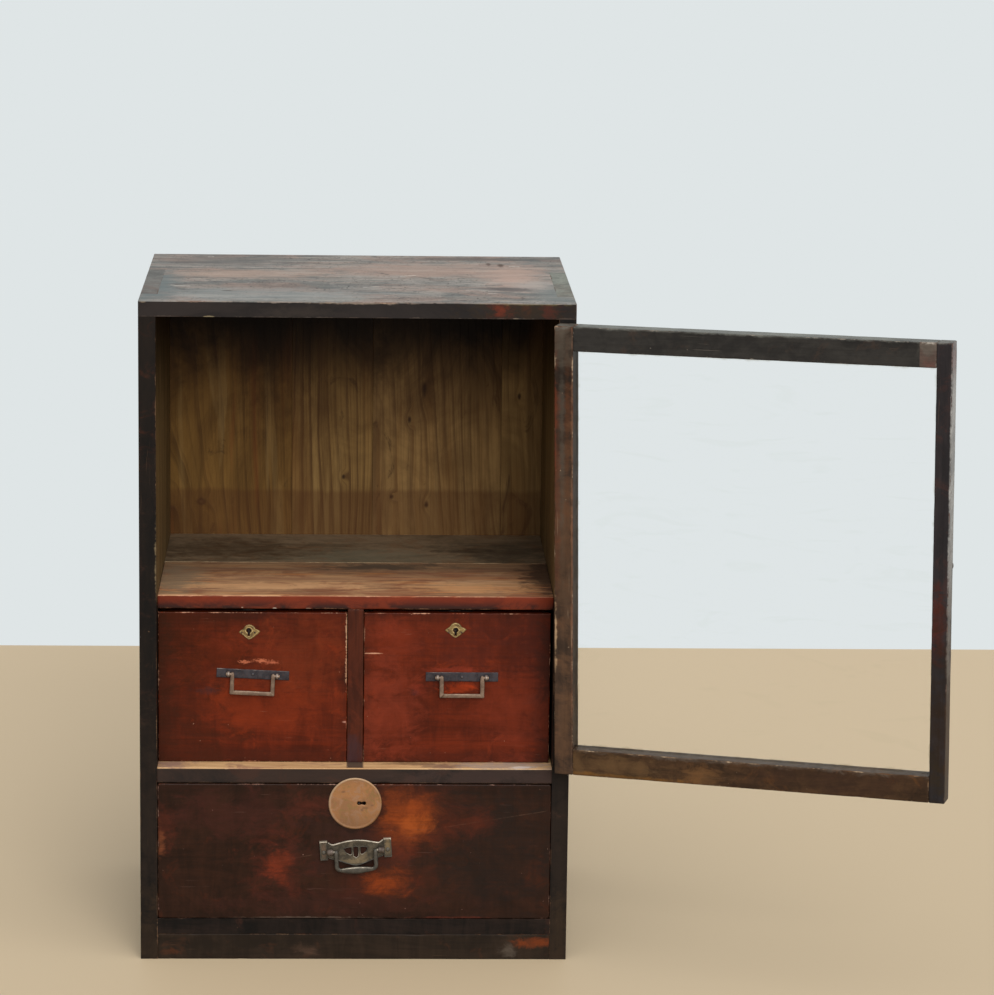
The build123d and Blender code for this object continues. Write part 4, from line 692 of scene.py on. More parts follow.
# Shelf over the small drawers. Two boards with a seam between them: the rear one still dark, the front one
# rubbed down to a reddish tan by the dishes that were slid over it, with a red-brown lacquered front edge.
shelf_top = edge_of("shelf_rear_board", 1, 2)
set_back = edge_of("shelf_front_board", 0, 1)
low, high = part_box("shelf_rear_board")
finish("shelf_rear_board", lacquered(
    "shelf_rear_lacquer", low, high, 0, dye(104, 88, 68), dye(142, 120, 94), dye(128, 96, 68),
    dye(196, 168, 130), 0.0009, 0.5, seed=4.4, gloss=0.46, cover=0.5,
    patches=(((-0.14, 0.26, shelf_top), (0.08, 0.05, 0.01), dye(66, 51, 36), 0.85),
             ((0.17, 0.24, shelf_top), (0.05, 0.05, 0.01), dye(66, 60, 50), 0.8),
             ((0.12, 0.25, shelf_top), (0.03, 0.01, 0.01), dye(50, 38, 28), 0.8),
             ((0.01, 0.22, shelf_top), (0.07, 0.03, 0.01), dye(118, 114, 94), 0.75)),
))
low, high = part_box("shelf_front_board")
low, high = Vector(low), Vector(high)
shelf = Finish("shelf_front_worn")
fine = shelf.cloud((9.0, 420.0, 420.0), 5.0, 0.6, 0.4, shift=(1.0, 2.0, 3.0))
streaks = shelf.cloud((5.0, 44.0, 10.0), 6.0, 0.66, 1.2, shift=(0.0, 7.0, 0.0))
clouds = shelf.cloud((14.0, 24.0, 30.0), 5.0, 0.66, 0.8, shift=(8.0, 0.0, 1.0))
face = shelf.blend(shelf.band(streaks, 0.36, 0.64), dye(158, 114, 84), dye(222, 170, 122))
face = shelf.blend(shelf.both(shelf.band(clouds, 0.46, 0.62), 0.7), face, dye(150, 92, 66))
rubbed_lines = shelf.cloud((11.0, 190.0, 30.0), 5.0, 0.68, 0.8, shift=(2.0, 2.0, 5.0))
face = shelf.blend(shelf.both(shelf.band(rubbed_lines, 0.54, 0.68), 0.6), face, dye(226, 184, 146))
face = shelf.blend(shelf.both(shelf.band(rubbed_lines, 0.46, 0.32), 0.6), face, dye(92, 62, 46))
amber = shelf.cloud((6.0, 110.0, 30.0), 4.0, 0.62, 0.8, shift=(7.0, 3.0, 5.0))
face = shelf.blend(shelf.both(shelf.band(amber, 0.54, 0.66), 0.6), face, dye(222, 140, 76))
face = shelf.blend(shelf.both(shelf.band(fine, 0.48, 0.78), 0.55), face, dye(76, 54, 40))
depth = shelf.part(shelf.place, 1)
back_shade = shelf.band(shelf.sum("MULTIPLY_ADD", streaks, 0.06, depth), 0.125, 0.2, 0.0, 0.6)
face = shelf.blend(back_shade, face, dye(104, 84, 64))
face = shelf.worn_and_shaded_places(face, (
    ((-0.1, 0.07, shelf_top), (0.1, 0.012, 0.01), dye(232, 178, 128), 0.7),
    ((0.13, 0.06, shelf_top), (0.06, 0.014, 0.01), dye(228, 166, 112), 0.7),
    ((-0.195, 0.1, shelf_top), (0.025, 0.06, 0.01), dye(136, 120, 98), 0.7),
    ((0.03, 0.168, shelf_top), (0.06, 0.014, 0.01), dye(76, 66, 56), 0.85),
    # Painted shadow of the open door's hinge stile on the shelf's right end.
    ((0.205, 0.12, shelf_top), (0.02, 0.08, 0.01), dye(60, 46, 38), 0.85),
))
rise = shelf.part(shelf.place, 2)
# The front edge darkens towards its lower arris: painted shade under the rounding.
edge = shelf.blend(shelf.band(rise, 0.3805, 0.3905), dye(46, 22, 16), dye(108, 40, 20))
edge = shelf.blend(shelf.both(shelf.band(clouds, 0.46, 0.62), 0.6), edge, dye(128, 50, 24))
colour = shelf.blend(shelf.band(rise, 0.3922, 0.3934), edge, face)
worn = shelf.both(shelf.arris(low, high, 0.0011, 0.5, 60.0), shelf.band(rise, 0.384, 0.39, 0.3, 1.0))
bared = shelf.blend(shelf.band(clouds, 0.42, 0.58), dye(210, 156, 118), dye(150, 84, 54))
colour = shelf.blend(shelf.both(worn, 0.8), colour, bared)
colour = shelf.worn_and_shaded_places(colour, (
    ((-0.12, set_back, 0.3805), (0.001, 0.004, 0.0006), dye(170, 140, 118), 0.85),
    ((-0.0855, set_back, 0.3797), (0.0022, 0.004, 0.0007), dye(206, 186, 166), 0.85),
    ((-0.05, set_back, 0.3797), (0.003, 0.004, 0.0005), dye(150, 120, 100), 0.85),
), 0.8, 400.0, 0.3)
shelf.relief(streaks, 0.0003)
shelf.relief(fine, 0.00008)
shelf_material = shelf.close(colour, shelf.sum("MULTIPLY_ADD", clouds, 0.2, 0.4), specular=0.16)
low.x, high.x = -inner_half, inner_half
shelf_front = skin("worn_shelf_front",
                   [worn_board(low, high, 0, (0.0006, 0.0009, 0.0009, 0.0006), 0.0008, 23)], "case",
                   shelf_material)
small_bolts = (-0.1131, 0.106)
pocketed(shelf_front, [((x - 0.007, 0.033, 0.378), (x + 0.007, 0.0385, 0.386)) for x in small_bolts])
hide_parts("shelf_front_board")

# Divider, rail and the boards behind them. The divider is tenoned into the
# rail and the shelf. The rail's top was never lacquered: it is a pale raw
# sill in front of the small drawers, darker where the divider stands on it.
sill_top = edge_of("middle_rail", 1, 2)
divider_lacquer = lacquered(
    "divider_lacquer", (-0.0085, set_back, sill_top), (0.0085, 0.044, 0.379), 2, dye(56, 25, 15),
    dye(81, 37, 22), dye(92, 40, 22), dye(140, 92, 64), 0.0008, 0.52, seed=2.2, lines=0.4,
    patches=(((0.0, set_back, 0.222), (0.01, 0.01, 0.016), dye(60, 40, 42), 0.8),),
)
divider = skin("worn_divider",
               [worn_board((-0.0085, set_back, 0.2116), (0.0085, 0.044, 0.3789), 2, 0.0007, 0.001, 31)],
               "case", divider_lacquer)
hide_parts("divider_stile")

rail = Finish("middle_rail_worn")
fine = rail.cloud((10.0, 460.0, 460.0), 5.0, 0.6, 0.4, shift=(2.0, 2.0, 3.0))
streaks = rail.cloud((7.0, 60.0, 30.0), 6.0, 0.66, 1.0, shift=(0.0, 3.0, 0.0))
clouds = rail.cloud((30.0, 60.0, 40.0), 5.0, 0.66, 0.8, shift=(1.0, 0.0, 1.0))
sill = rail.blend(rail.band(streaks, 0.36, 0.64), dye(226, 184, 132), dye(196, 152, 106))
sill = rail.blend(rail.both(rail.band(clouds, 0.52, 0.66), 0.7), sill, dye(164, 120, 96))
sill = rail.blend(rail.both(rail.band(fine, 0.5, 0.78), 0.5), sill, dye(120, 84, 56))
sill = rail.worn_and_shaded_places(sill, (
    ((-0.195, 0.014, sill_top), (0.02, 0.012, 0.004), dye(150, 116, 104), 0.8),
    ((0.16, 0.012, sill_top), (0.045, 0.012, 0.004), dye(168, 150, 140), 0.75),
    ((0.178, 0.006, sill_top), (0.012, 0.004, 0.004), dye(226, 212, 200), 0.85),
    ((0.06, 0.02, sill_top), (0.03, 0.004, 0.004), dye(120, 86, 62), 0.7),
    ((0.09, 0.01, sill_top), (0.02, 0.008, 0.004), dye(120, 92, 80), 0.6),
), 2.4, 120.0)
divider_mark = rail.block((0.0, 0.016, sill_top), (0.0088, 0.014, 0.004), 0.0012)
sill = rail.blend(rail.both(divider_mark, 0.9), sill, dye(56, 44, 44))
front = rail.blend(rail.band(streaks, 0.36, 0.64), dye(32, 26, 23), dye(52, 38, 31))
front = rail.blend(rail.both(rail.band(clouds, 0.52, 0.66), 0.35), front, dye(72, 44, 32))
front = rail.blend(rail.both(rail.patch((0.14, 0.0, 0.203), (0.07, 0.02, 0.012)), 0.7), front,
                   dye(62, 46, 40))
rise = rail.part(rail.place, 2)
colour = rail.blend(rail.band(rise, 0.2098, 0.2112), front, sill)
worn = rail.arris((-0.2155, 0.0, 0.195), (0.2155, 0.04, sill_top), 0.001, 0.3, 60.0)
bared = rail.blend(rail.band(rise, 0.2, 0.21), dye(92, 70, 54), dye(214, 172, 128))
colour = rail.blend(rail.both(worn, 0.7), colour, bared)
rail.relief(streaks, 0.0003)
rail.relief(fine, 0.00008)
rail_material = rail.close(colour, rail.sum("MULTIPLY_ADD", clouds, 0.2, 0.46), specular=0.15)
rail_piece = skin("worn_middle_rail", [worn_board((-inner_half, 0.0, 0.195), (inner_half, 0.04, sill_top), 0,
                                                  (0.0007, 0.0009, 0.0009, 0.0007), 0.0012, 41)],
                  "case", rail_material)
pocketed(rail_piece, [((-0.008, 0.0105, 0.194), (0.008, 0.0165, 0.203))])
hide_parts("middle_rail")


def plain_wood(name, low, high, grain, pale, deep, seed=0.0, reach=0.0006):
    """Unfinished inside wood, gone brown: slow streaks and fine fibres
    along the grain, a few stains, and arrises that are a little paler."""
    wood = Finish(name)
    streaks = wood.cloud(along(grain, 3.0, 70.0), 5.0, 0.6, 0.9, shift=(seed, 1.0, 3.0))
    fibre = wood.cloud(along(grain, 9.0, 620.0), 4.0, 0.6, 0.0, shift=(2.0, seed, 1.0))
    stains = wood.cloud((13.0, 13.0, 13.0), 4.0, 0.6, 0.8, shift=(seed, seed, 1.0))
    colour = wood.blend(wood.band(streaks, 0.33, 0.67), pale, deep)
    colour = wood.blend(wood.both(wood.band(fibre, 0.5, 0.8), 0.4), colour, deep)
    colour = wood.blend(wood.both(wood.band(stains, 0.56, 0.7), 0.5), colour, dye(86, 62, 44))
    worn = wood.arris(low, high, reach)
    colour = wood.blend(wood.both(worn, 0.5), colour, dye(196, 160, 118))
    wood.relief(streaks, 0.0002)
    wood.relief(fibre, 0.00007)
    return wood.close(colour, wood.sum("MULTIPLY_ADD", stains, 0.2, 0.52), specular=0.15)


for node, grain, seed in (("middle_board", 0, 2.1), ("partition_panel", 1, 5.3)):
    low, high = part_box(node)
    finish(node, plain_wood(node + "_wood", low, high, grain, dye(150, 112, 76), dye(112, 78, 50), seed))

# Hinges. Two pairs of iron leaves with three knuckles on a pin: one leaf lies on the front edge of the right
# side, the other is let into the edge of the door's hinge stile. Their screws are slotted and countersunk.
hinge_iron = old_iron("hinge_iron", dye(44, 40, 40), dye(78, 70, 66), dye(150, 140, 130), dye(88, 58, 42),
                      2.0)
for node in ("upper_hinge_case_leaf", "lower_hinge_case_leaf", "upper_hinge_door_leaf",
             "lower_hinge_door_leaf", "hinge_pins", "case_hinge_screws", "door_hinge_screws"):
    finish(node, hinge_iron)

# Door frame. Four members of softwood, tenoned together and lacquered
# near-black outside, browner inside, with rounded inner arrises. Hands have
# rubbed the hinge stile's inner arris and the bottom rail's ends to brown.
door_corner = np.array([0.217714, -0.008164, 0.214285])
pin_direction = np.array([-0.0084, 0.0014, 1.0])
pin_direction /= np.linalg.norm(pin_direction)
opened = math.radians(160.5)


def swung(direction):
    """A direction of the shut door turned with the open door about the pin, by Rodrigues' formula."""
    direction = np.array(direction, float)
    return (direction * math.cos(opened) + np.cross(pin_direction, direction) * math.sin(opened)
            + pin_direction * pin_direction.dot(direction) * (1 - math.cos(opened)))


door_along = swung((-1, 0, 0))
door_in = swung((0, 1, 0))
door_up = np.cross(door_in, door_along)
door_local = (door_corner, door_along, door_up, door_in)


def on_door(grid):
    """Takes places measured on the door (from the hinge edge,
    up, and in from the outer face) to the cabinet's."""
    return door_corner + grid[..., :1] * door_along + grid[..., 1:2] * door_up + grid[..., 2:] * door_in


door_wide, door_tall, door_thick = 0.4172, 0.4776, 0.022
door_middle = door_thick / 2
pane_left, pane_right, pane_low, pane_high = 0.02, 0.4007, 0.0276, 0.4516
shy, sunk = 0.0001, 0.00005
members = (
    ("hinge_stile", (0.0, 0.0, 0.0), (pane_left, door_tall, door_thick), 1,
     (0.001, 0.0008, 0.0008, 0.0008), 51),
    ("free_stile", (pane_right, 0.0, 0.0), (door_wide, door_tall, door_thick), 1,
     (0.0008, 0.001, 0.0008, 0.0008), 53),
    ("top_rail", (pane_left + shy, pane_high, sunk), (pane_right - shy, door_tall, door_thick - sunk), 0,
     (0.0008, 0.001, 0.0008, 0.0008), 55),
    ("bottom_rail", (pane_left + shy, 0.0, sunk), (pane_right - shy, pane_low, door_thick - sunk), 0,
     (0.001, 0.0008, 0.0008, 0.0008), 57),
)
door_colours = {
    "hinge_stile": (dye(42, 33, 27), dye(74, 57, 45), dye(84, 52, 36), dye(176, 150, 122), 0.2, (
        ((0.012, 0.24, door_thick), (0.01, 0.1, 0.01), dye(104, 76, 54), 0.6),
        ((0.014, 0.36, door_thick), (0.003, 0.12, 0.004), dye(96, 60, 38), 0.45),
        ((0.008, 0.38, door_thick), (0.003, 0.1, 0.004), dye(84, 76, 66), 0.6),
        ((0.001, 0.38, door_thick), (0.0014, 0.06, 0.004), dye(112, 52, 32), 0.6, 3.2),
        ((0.01, 0.46, door_thick), (0.012, 0.02, 0.004), dye(92, 82, 70), 0.7),
        ((0.01, door_tall, door_middle), (0.012, 0.003, 0.012), dye(118, 114, 104), 0.85),
        # Painted shade down the stile's inner side.
        ((0.02, 0.24, door_middle), (0.0016, 0.3, 0.0105), dye(34, 28, 25), 0.85),
        ((0.0196, 0.25, door_thick), (0.0012, 0.22, 0.001), dye(140, 98, 74), 0.6),
        ((0.01, 0.05, door_thick), (0.01, 0.05, 0.01), dye(112, 80, 56), 0.6),
        ((0.003, 0.3, door_thick), (0.003, 0.1, 0.01), dye(100, 54, 34), 0.5),
        ((0.001, 0.15, door_thick), (0.0016, 0.03, 0.004), dye(196, 160, 122), 0.8),
    )),
    "free_stile": (dye(40, 37, 38), dye(56, 50, 50), dye(66, 46, 42), dye(116, 92, 78), 0.0, (
        ((0.406, 0.185, door_thick), (0.007, 0.03, 0.01), dye(90, 38, 26), 0.8),
        ((0.409, 0.08, door_thick), (0.012, 0.09, 0.01), dye(44, 32, 22), 0.92),
        ((0.409, 0.02, door_thick), (0.01, 0.02, 0.01), dye(54, 44, 30), 0.5),
        ((door_wide, 0.34, door_middle), (0.0014, 0.16, 0.014), dye(196, 192, 184), 0.95, 1.2),
        ((door_wide, 0.1, door_middle), (0.0014, 0.14, 0.012), dye(70, 50, 36), 0.7),
        ((door_wide, 0.462, door_middle), (0.0014, 0.016, 0.014), dye(132, 92, 88), 0.7),
        ((0.409, door_tall, door_middle), (0.01, 0.002, 0.012), dye(128, 124, 114), 0.8),
    )),
    "top_rail": (dye(42, 40, 38), dye(58, 55, 51), dye(66, 54, 46), dye(150, 140, 126), 0.25, (
        ((0.2, door_tall, door_middle), (0.22, 0.002, 0.012), dye(134, 134, 124), 0.9, 1.6),
    )),
    "bottom_rail": (dye(48, 35, 25), dye(80, 57, 38), dye(96, 62, 34), dye(172, 146, 116), 0.3, (
        ((0.05, 0.0015, door_thick), (0.06, 0.0024, 0.01), dye(144, 98, 44), 0.6),
        ((0.06, 0.014, door_thick), (0.045, 0.01, 0.01), dye(104, 78, 50), 0.7),
        ((0.3, 0.015, door_thick), (0.07, 0.012, 0.01), dye(58, 40, 30), 0.7),
        ((0.16, 0.008, door_thick), (0.02, 0.008, 0.01), dye(122, 86, 52), 0.6),
        ((0.2, 0.0276, door_middle), (0.2, 0.003, 0.012), dye(112, 100, 88), 0.6),
    )),
}
for name, low, high, grain, arrises, seed in members:
    dark, light, thin, bare, cover, patches = door_colours[name]
    if name == "top_rail":
        patches += (((0.3922, 0.4646, door_thick), (0.0088, 0.02, 0.004), dye(104, 84, 74), 0.95, 0.0),
                    ((0.3922, 0.4546, door_thick), (0.008, 0.004, 0.004), dye(118, 72, 64), 0.6),
                    ((0.3922, 0.472, door_thick), (0.0085, 0.005, 0.004), dye(106, 100, 90), 0.7),
                    ((0.392, 0.4774, door_thick), (0.006, 0.0014, 0.002), dye(206, 196, 180), 0.8, 3.0,
                     300.0))
    coat = lacquered(name + "_lacquer", low, high, grain, dark, light, thin, bare, 0.0011, 0.55, patches,
                     seed * 0.37, door_local, 0.42, 0.4, cover=cover)
    board = on_door(worn_board(low, high, grain, arrises, 0.0013, seed))
    member = skin("worn_" + name, [board], "door", coat)
    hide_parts(name)

# Glass. One thin old pane in the frame's grooves, clear, with a little dust along the frame and a few faint
# wiping streaks. Shadows and bounced light pass straight through it.
pane = Finish("old_glass")
pane.turn_to(*door_local)
dust = pane.cloud((60.0, 60.0, 60.0), 4.0, 0.6, 0.6)
wiping = pane.cloud((9.0, 46.0, 9.0), 3.0, 0.6, 1.5, shift=(2.0, 5.0, 1.0))
pane_across, pane_up = (pane.part(pane.place, axis) for axis in range(2))
from_stiles = pane.sum("MINIMUM", pane.sum("SUBTRACT", pane_across, pane_left),
                       pane.sum("SUBTRACT", pane_right, pane_across))
from_rails = pane.sum("MINIMUM", pane.sum("SUBTRACT", pane_up, pane_low),
                      pane.sum("SUBTRACT", pane_high, pane_up))
inwards = pane.sum("MINIMUM", from_stiles, from_rails)
along_frame = pane.band(pane.sum("MULTIPLY_ADD", dust, 0.008, inwards), 0.0075, 0.0035)
clear = pane.blend(pane.both(pane.band(wiping, 0.55, 0.7), 0.5), (1.0, 1.0, 1.0, 1.0), dye(250, 251, 249))
glass_material = pane.close(pane.blend(pane.both(along_frame, 0.8), clear, dye(196, 190, 176)), 0.0)
pane.shader.inputs["Transmission Weight"].default_value = 1.0
pane.shader.inputs["IOR"].default_value = 1.1
through = pane.tree.nodes.new("ShaderNodeBsdfTransparent")
through.inputs[0].default_value = (0.97, 0.98, 0.975, 1.0)
paths = pane.tree.nodes.new("ShaderNodeLightPath")
either = pane.tree.nodes.new("ShaderNodeMixShader")
unbent = pane.sum("MAXIMUM", paths.outputs["Is Shadow Ray"], paths.outputs["Is Diffuse Ray"])
pane.tree.links.new(unbent, either.inputs[0])
pane.tree.links.new(pane.shader.outputs[0], either.inputs[1])
pane.tree.links.new(through.outputs[0], either.inputs[2])
pane.tree.links.new(either.outputs[0], pane.out.inputs[0])
finish("glass_pane", glass_material)

# Door knob. Turned from one piece of wood with a spigot in the free stile; the hand has rubbed its crown.


def turned(profile, origin, out, around=40):
    """A turned piece: each point (radius, height) of the
    profile is carried once round the axis through origin."""
    out = np.array(out, float) / np.linalg.norm(out)
    side = np.cross(out, (0, 0, 1.0))
    side /= np.linalg.norm(side)
    other = np.cross(out, side)
    turn = np.linspace(0, 2 * np.pi, around, endpoint=False)
    circle = np.cos(turn)[:, None] * side + np.sin(turn)[:, None] * other
    profile = np.array(profile)
    return np.array(origin) + profile[:, :1, None] * circle[None] + profile[:, 1:, None] * out


share = np.linspace(0, 1, 8)[:, None]
crown = np.concatenate([0.0032 + 0.0033 * np.sin(np.pi / 2 * share), 0.006 + 0.005 * share], 1)
cap_angle = np.linspace(0, np.radians(84), 9)[1:, None]
cap = np.concatenate([0.0065 * np.cos(cap_angle), 0.011 + 0.005 * np.sin(cap_angle)], 1)
neck = np.array([(0.0039, 0.0), (0.0042, 0.0004), (0.0042, 0.001), (0.0038, 0.0015), (0.0031, 0.0024),
                 (0.0029, 0.0042), (0.0031, 0.0055)])
knob_profile = np.concatenate([neck, crown, cap])
knob_origin = door_corner + 0.4092 * door_along + 0.243 * door_up
knob_grid = turned(knob_profile, knob_origin, -door_in)
knob_wood = lacquered("knob_lacquer", (0.40, 0.23, -0.02), (0.42, 0.26, 0.0), 2, dye(40, 30, 26),
                      dye(74, 48, 36), dye(96, 54, 36), dye(140, 100, 72), 0.0002, 0.5, seed=1.9,
                      local=door_local, gloss=0.3)
knob = skin("turned_knob", [knob_grid], "door", knob_wood)
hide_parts("door_knob")

# Small drawers. Red-brown lacquered fronts, set back from the case's front edge
# so that the door can shut over them, on boxes of plain thin boards. The fronts
# are scratched above the pulls, and their upper arrises are rubbed pale.
small_dark = dye(70, 24, 9)
small_light = dye(106, 38, 16)
small_thin = dye(126, 46, 18)
small_bare = dye(212, 158, 126)
small_patches = {
    "left": (
        ((-0.19, set_back, 0.35), (0.06, 0.02, 0.05), dye(56, 21, 3), 0.9),
        ((-0.202, set_back, 0.29), (0.012, 0.02, 0.1), dye(46, 22, 8), 0.7),
        ((-0.1, set_back, 0.22), (0.1, 0.02, 0.007), dye(70, 28, 14), 0.7),
        ((-0.185, set_back, 0.25), (0.045, 0.02, 0.05), dye(62, 26, 11), 0.8),
        ((-0.06, set_back, 0.33), (0.04, 0.02, 0.04), dye(108, 44, 20), 0.65),
        ((-0.1, set_back, 0.275), (0.05, 0.02, 0.022), dye(126, 46, 18), 0.7),
        ((-0.14, set_back, 0.332), (0.03, 0.02, 0.02), dye(100, 36, 12), 0.5),
        ((-0.16, set_back, 0.2897), (0.012, 0.02, 0.0035), dye(56, 34, 32), 0.9),
        ((-0.117, set_back, 0.3212), (0.0045, 0.02, 0.0014), dye(196, 112, 78), 0.85, 3.6, 620.0, 0.6),
        ((-0.1, set_back, 0.3228), (0.006, 0.02, 0.0015), dye(206, 118, 82), 0.9, 3.6, 620.0, 0.6),
        ((-0.089, set_back, 0.321), (0.006, 0.02, 0.0015), dye(196, 108, 76), 0.85, 3.6, 620.0, 0.6),
        ((-0.0095, set_back, 0.355), (0.0009, 0.004, 0.02), dye(214, 168, 130), 0.85, 3.6, 500.0, 0.4),
        ((-0.0095, set_back, 0.315), (0.0009, 0.004, 0.016), dye(206, 158, 122), 0.85, 3.6, 500.0, 0.4),
        ((-0.0112, set_back, 0.2558), (0.0022, 0.004, 0.0009), dye(206, 150, 128), 0.9, 0.8, 300.0),
    ),
    "right": (
        ((0.12, set_back, 0.345), (0.06, 0.02, 0.025), dye(76, 30, 19), 0.65),
        ((0.045, set_back, 0.35), (0.02, 0.02, 0.02), dye(122, 46, 24), 0.6),
        ((0.13, set_back, 0.22), (0.08, 0.02, 0.007), dye(70, 28, 16), 0.7),
        ((0.19, set_back, 0.34), (0.03, 0.02, 0.035), dye(70, 26, 14), 0.6),
        # Painted shadow of the door's hinge stile down the drawer's right end.
        ((0.202, set_back, 0.28), (0.012, 0.02, 0.09), dye(56, 27, 19), 0.8),
        ((0.17, set_back, 0.26), (0.04, 0.02, 0.04), dye(116, 45, 25), 0.65),
        ((0.035, set_back, 0.27), (0.03, 0.02, 0.06), dye(124, 50, 30), 0.7),
        ((0.0185, set_back, 0.3311), (0.0085, 0.02, 0.0007), dye(222, 164, 128), 0.95, 0.8, 300.0, 0.4),
        ((0.064, set_back, 0.2884), (0.004, 0.02, 0.003), dye(60, 34, 34), 0.9),
        ((0.109, set_back, 0.293), (0.02, 0.02, 0.006), dye(164, 58, 22), 0.9),
        ((0.068, set_back, 0.291), (0.006, 0.02, 0.005), dye(134, 50, 30), 0.6),
        ((0.1, set_back, 0.313), (0.03, 0.02, 0.003), dye(140, 54, 34), 0.7),
    ),
}
for hand, seed in (("left", 3.0), ("right", 8.0)):
    low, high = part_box(hand + "_drawer_front")
    finish(hand + "_drawer_front", lacquered(
        hand + "_drawer_lacquer", low, high, 0, small_dark, small_light, small_thin, small_bare, 0.0009, 0.56,
        small_patches[hand], seed, gloss=0.36, scratches=0.25, specular=0.1, cover=0.2, specks=0.6, lines=0.3,
        rim_darkening=0.42,
    ))
    for node, grain in (("sides", 1), ("back", 0), ("bottom", 0)):
        low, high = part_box(f"{hand}_drawer_{node}")
        finish(f"{hand}_drawer_{node}", plain_wood(f"{hand}_drawer_{node}_wood", low, high, grain,
                                                   dye(176, 138, 98), dye(138, 100, 66), seed + grain))

# Escutcheons. Small brass plates, scalloped into a lozenge round the keyhole, filed to a
# bevel and held by two brass tacks. Age has left them olive and tan, brighter on the bevel.


def aged_brass(name, dark, mid, bright, seed=0.0, metallic=0.8, gloss=0.4):
    """Old brass: a blotchy skin between dark and mid, pitted by fine noise, and bright where it is rubbed."""
    brass = Finish(name)
    broad = brass.cloud((150.0, 150.0, 150.0), 4.0, 0.6, 0.6, shift=(seed, 1.0, 2.0))
    fine = brass.cloud((1100.0, 1100.0, 1100.0), 4.0, 0.65, 0.0, shift=(1.0, seed, 4.0))
    colour = brass.blend(brass.band(broad, 0.34, 0.66), dark, mid)
    colour = brass.blend(brass.both(brass.band(fine, 0.55, 0.72), 0.5), colour, dye(66, 48, 30))
    bright_places = brass.sum("MULTIPLY", brass.wear_and_highlight(), brass.sum("MULTIPLY_ADD", fine, 0.7, 0.6))
    bright_places = brass.band(bright_places, 0.25, 0.95)
    colour = brass.blend(bright_places, colour, bright)
    rough = brass.sum("MULTIPLY_ADD", bright_places, -0.1, brass.sum("MULTIPLY_ADD", broad, 0.25, gloss))
    brass.relief(broad, 0.00015)
    brass.relief(fine, 0.00004)
    return brass.close(colour, rough, metallic)


def keyed_plate(rim, hole, centre, outward, profile, across=18):
    """A plate between a hole and a rim. Ray k runs straight from point k of the hole to point k of
    the rim; the front follows the profile, which gives the height at a share of the way along the
    ray, and the back is flat. The two join over the rim and down the hole, so the whole is a ring."""
    share = np.concatenate([np.linspace(0, 0.06, 3), np.linspace(0.12, 0.86, across - 8),
                            np.linspace(0.91, 1, 5)])
    front = hole[None] * (1 - share[:, None, None]) + rim[None] * share[:, None, None]
    back = front[::-1]
    flat = np.concatenate([front, back])
    height = np.concatenate([profile(share, front), np.zeros(back.shape[:2])])
    x, up, out = outward
    return centre + flat[..., :1] * x + flat[..., 1:2] * up + height[..., None] * out


x_axis, z_axis, to_front = np.array([1.0, 0, 0]), np.array([0, 0, 1.0]), np.array([0, -1.0, 0])
corners = np.array([(11.3, 0.7), (8.6, 2.6), (6.5, 3.3), (5.6, 5.0), (3.0, 7.3), (-0.6, 8.1), (-4.0, 6.9),
                    (-5.8, 4.7), (-6.8, 3.3), (-9.0, 2.0), (-11.3, 0.0), (-9.4, -1.9), (-6.7, -3.6),
                    (-4.0, -6.2), (-0.4, -8.1), (3.4, -6.4), (6.6, -3.7), (9.6, -1.3)]) / 1000
corner_angle = np.arctan2(corners[:, 1], corners[:, 0])
corner_reach = np.linalg.norm(corners, axis=1)
order = np.argsort(corner_angle)
ray_angle = np.linspace(-np.pi, np.pi, 96, endpoint=False)
reach = np.interp(ray_angle, corner_angle[order], corner_reach[order], period=2 * np.pi)
lozenge = np.stack([np.cos(ray_angle), np.sin(ray_angle)], -1) * reach[:, None]


def key_shape(turn):
    """The keyhole's outline by angle: a circle of radius 2.6
    mm, or the slot's side or foot where that is further."""
    slot = np.where(np.sin(turn) < -0.15, np.minimum(1.2 / np.maximum(np.abs(np.cos(turn)), 1e-3),
                                                     6.2 / np.maximum(-np.sin(turn), 1e-3)), 0)
    return np.stack([np.cos(turn), np.sin(turn)], -1) * (np.maximum(2.6, slot) / 1000)[:, None]


def chased(share, front):
    """Height of the front: a raised ring at the keyhole, a shallow hollow that ripples,
    a raised border, and a bevel filed down to the rim over the last tenth of the way."""
    ring = 0.00022 * np.exp(-((share - 0.16) / 0.07) ** 2)
    border = 0.00016 * np.exp(-((share - 0.8) / 0.07) ** 2)
    height = 0.00078 + ring + border
    height = np.where(share > 0.88, 0.0003 + (1 - share) / 0.12 * 0.0005, height)
    height = np.where(share < 0.03, 0.0007, height)
    ripple = 0.00005 * np.cos(12 * ray_angle) * np.exp(-((share[:, None] - 0.48) / 0.16) ** 2)
    return height[:, None] + ripple


escutcheons = {"left": ((-0.1123, 0.35375), (-0.1131, 0.3556)), "right": ((0.10605, 0.3568), (0.106, 0.3568))}
plate_brass = aged_brass("escutcheon_brass", dye(92, 72, 40), dye(140, 114, 68), dye(200, 176, 122), 1.0, 0.5,
                         0.4)
for hand, (plate, key) in escutcheons.items():
    centre = np.array([plate[0], set_back, plate[1]])
    shift = np.array([key[0] - plate[0], key[1] - plate[1]])
    hole = key_shape(ray_angle) + shift
    grid = keyed_plate(lozenge, hole, centre, (x_axis, z_axis, to_front), chased, 26)
    rows = np.concatenate([np.linspace(0, 0.06, 3), np.linspace(0.12, 0.86, 18), np.linspace(0.91, 1, 5)])
    ridges = np.exp(-((rows - 0.16) / 0.08) ** 2) + 0.8 * np.exp(-((rows - 0.82) / 0.08) ** 2)
    worn_round = 0.55 + 0.45 * rough_line(96, len(hand), 7)
    plate_piece = skin(hand + "_filed_escutcheon", [grid], hand + "_drawer", plate_brass, True,
                       [np.concatenate([np.clip(ridges, 0, 1)[:, None] * worn_round, np.zeros((26, 96))])])
    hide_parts(hand + "_escutcheon")
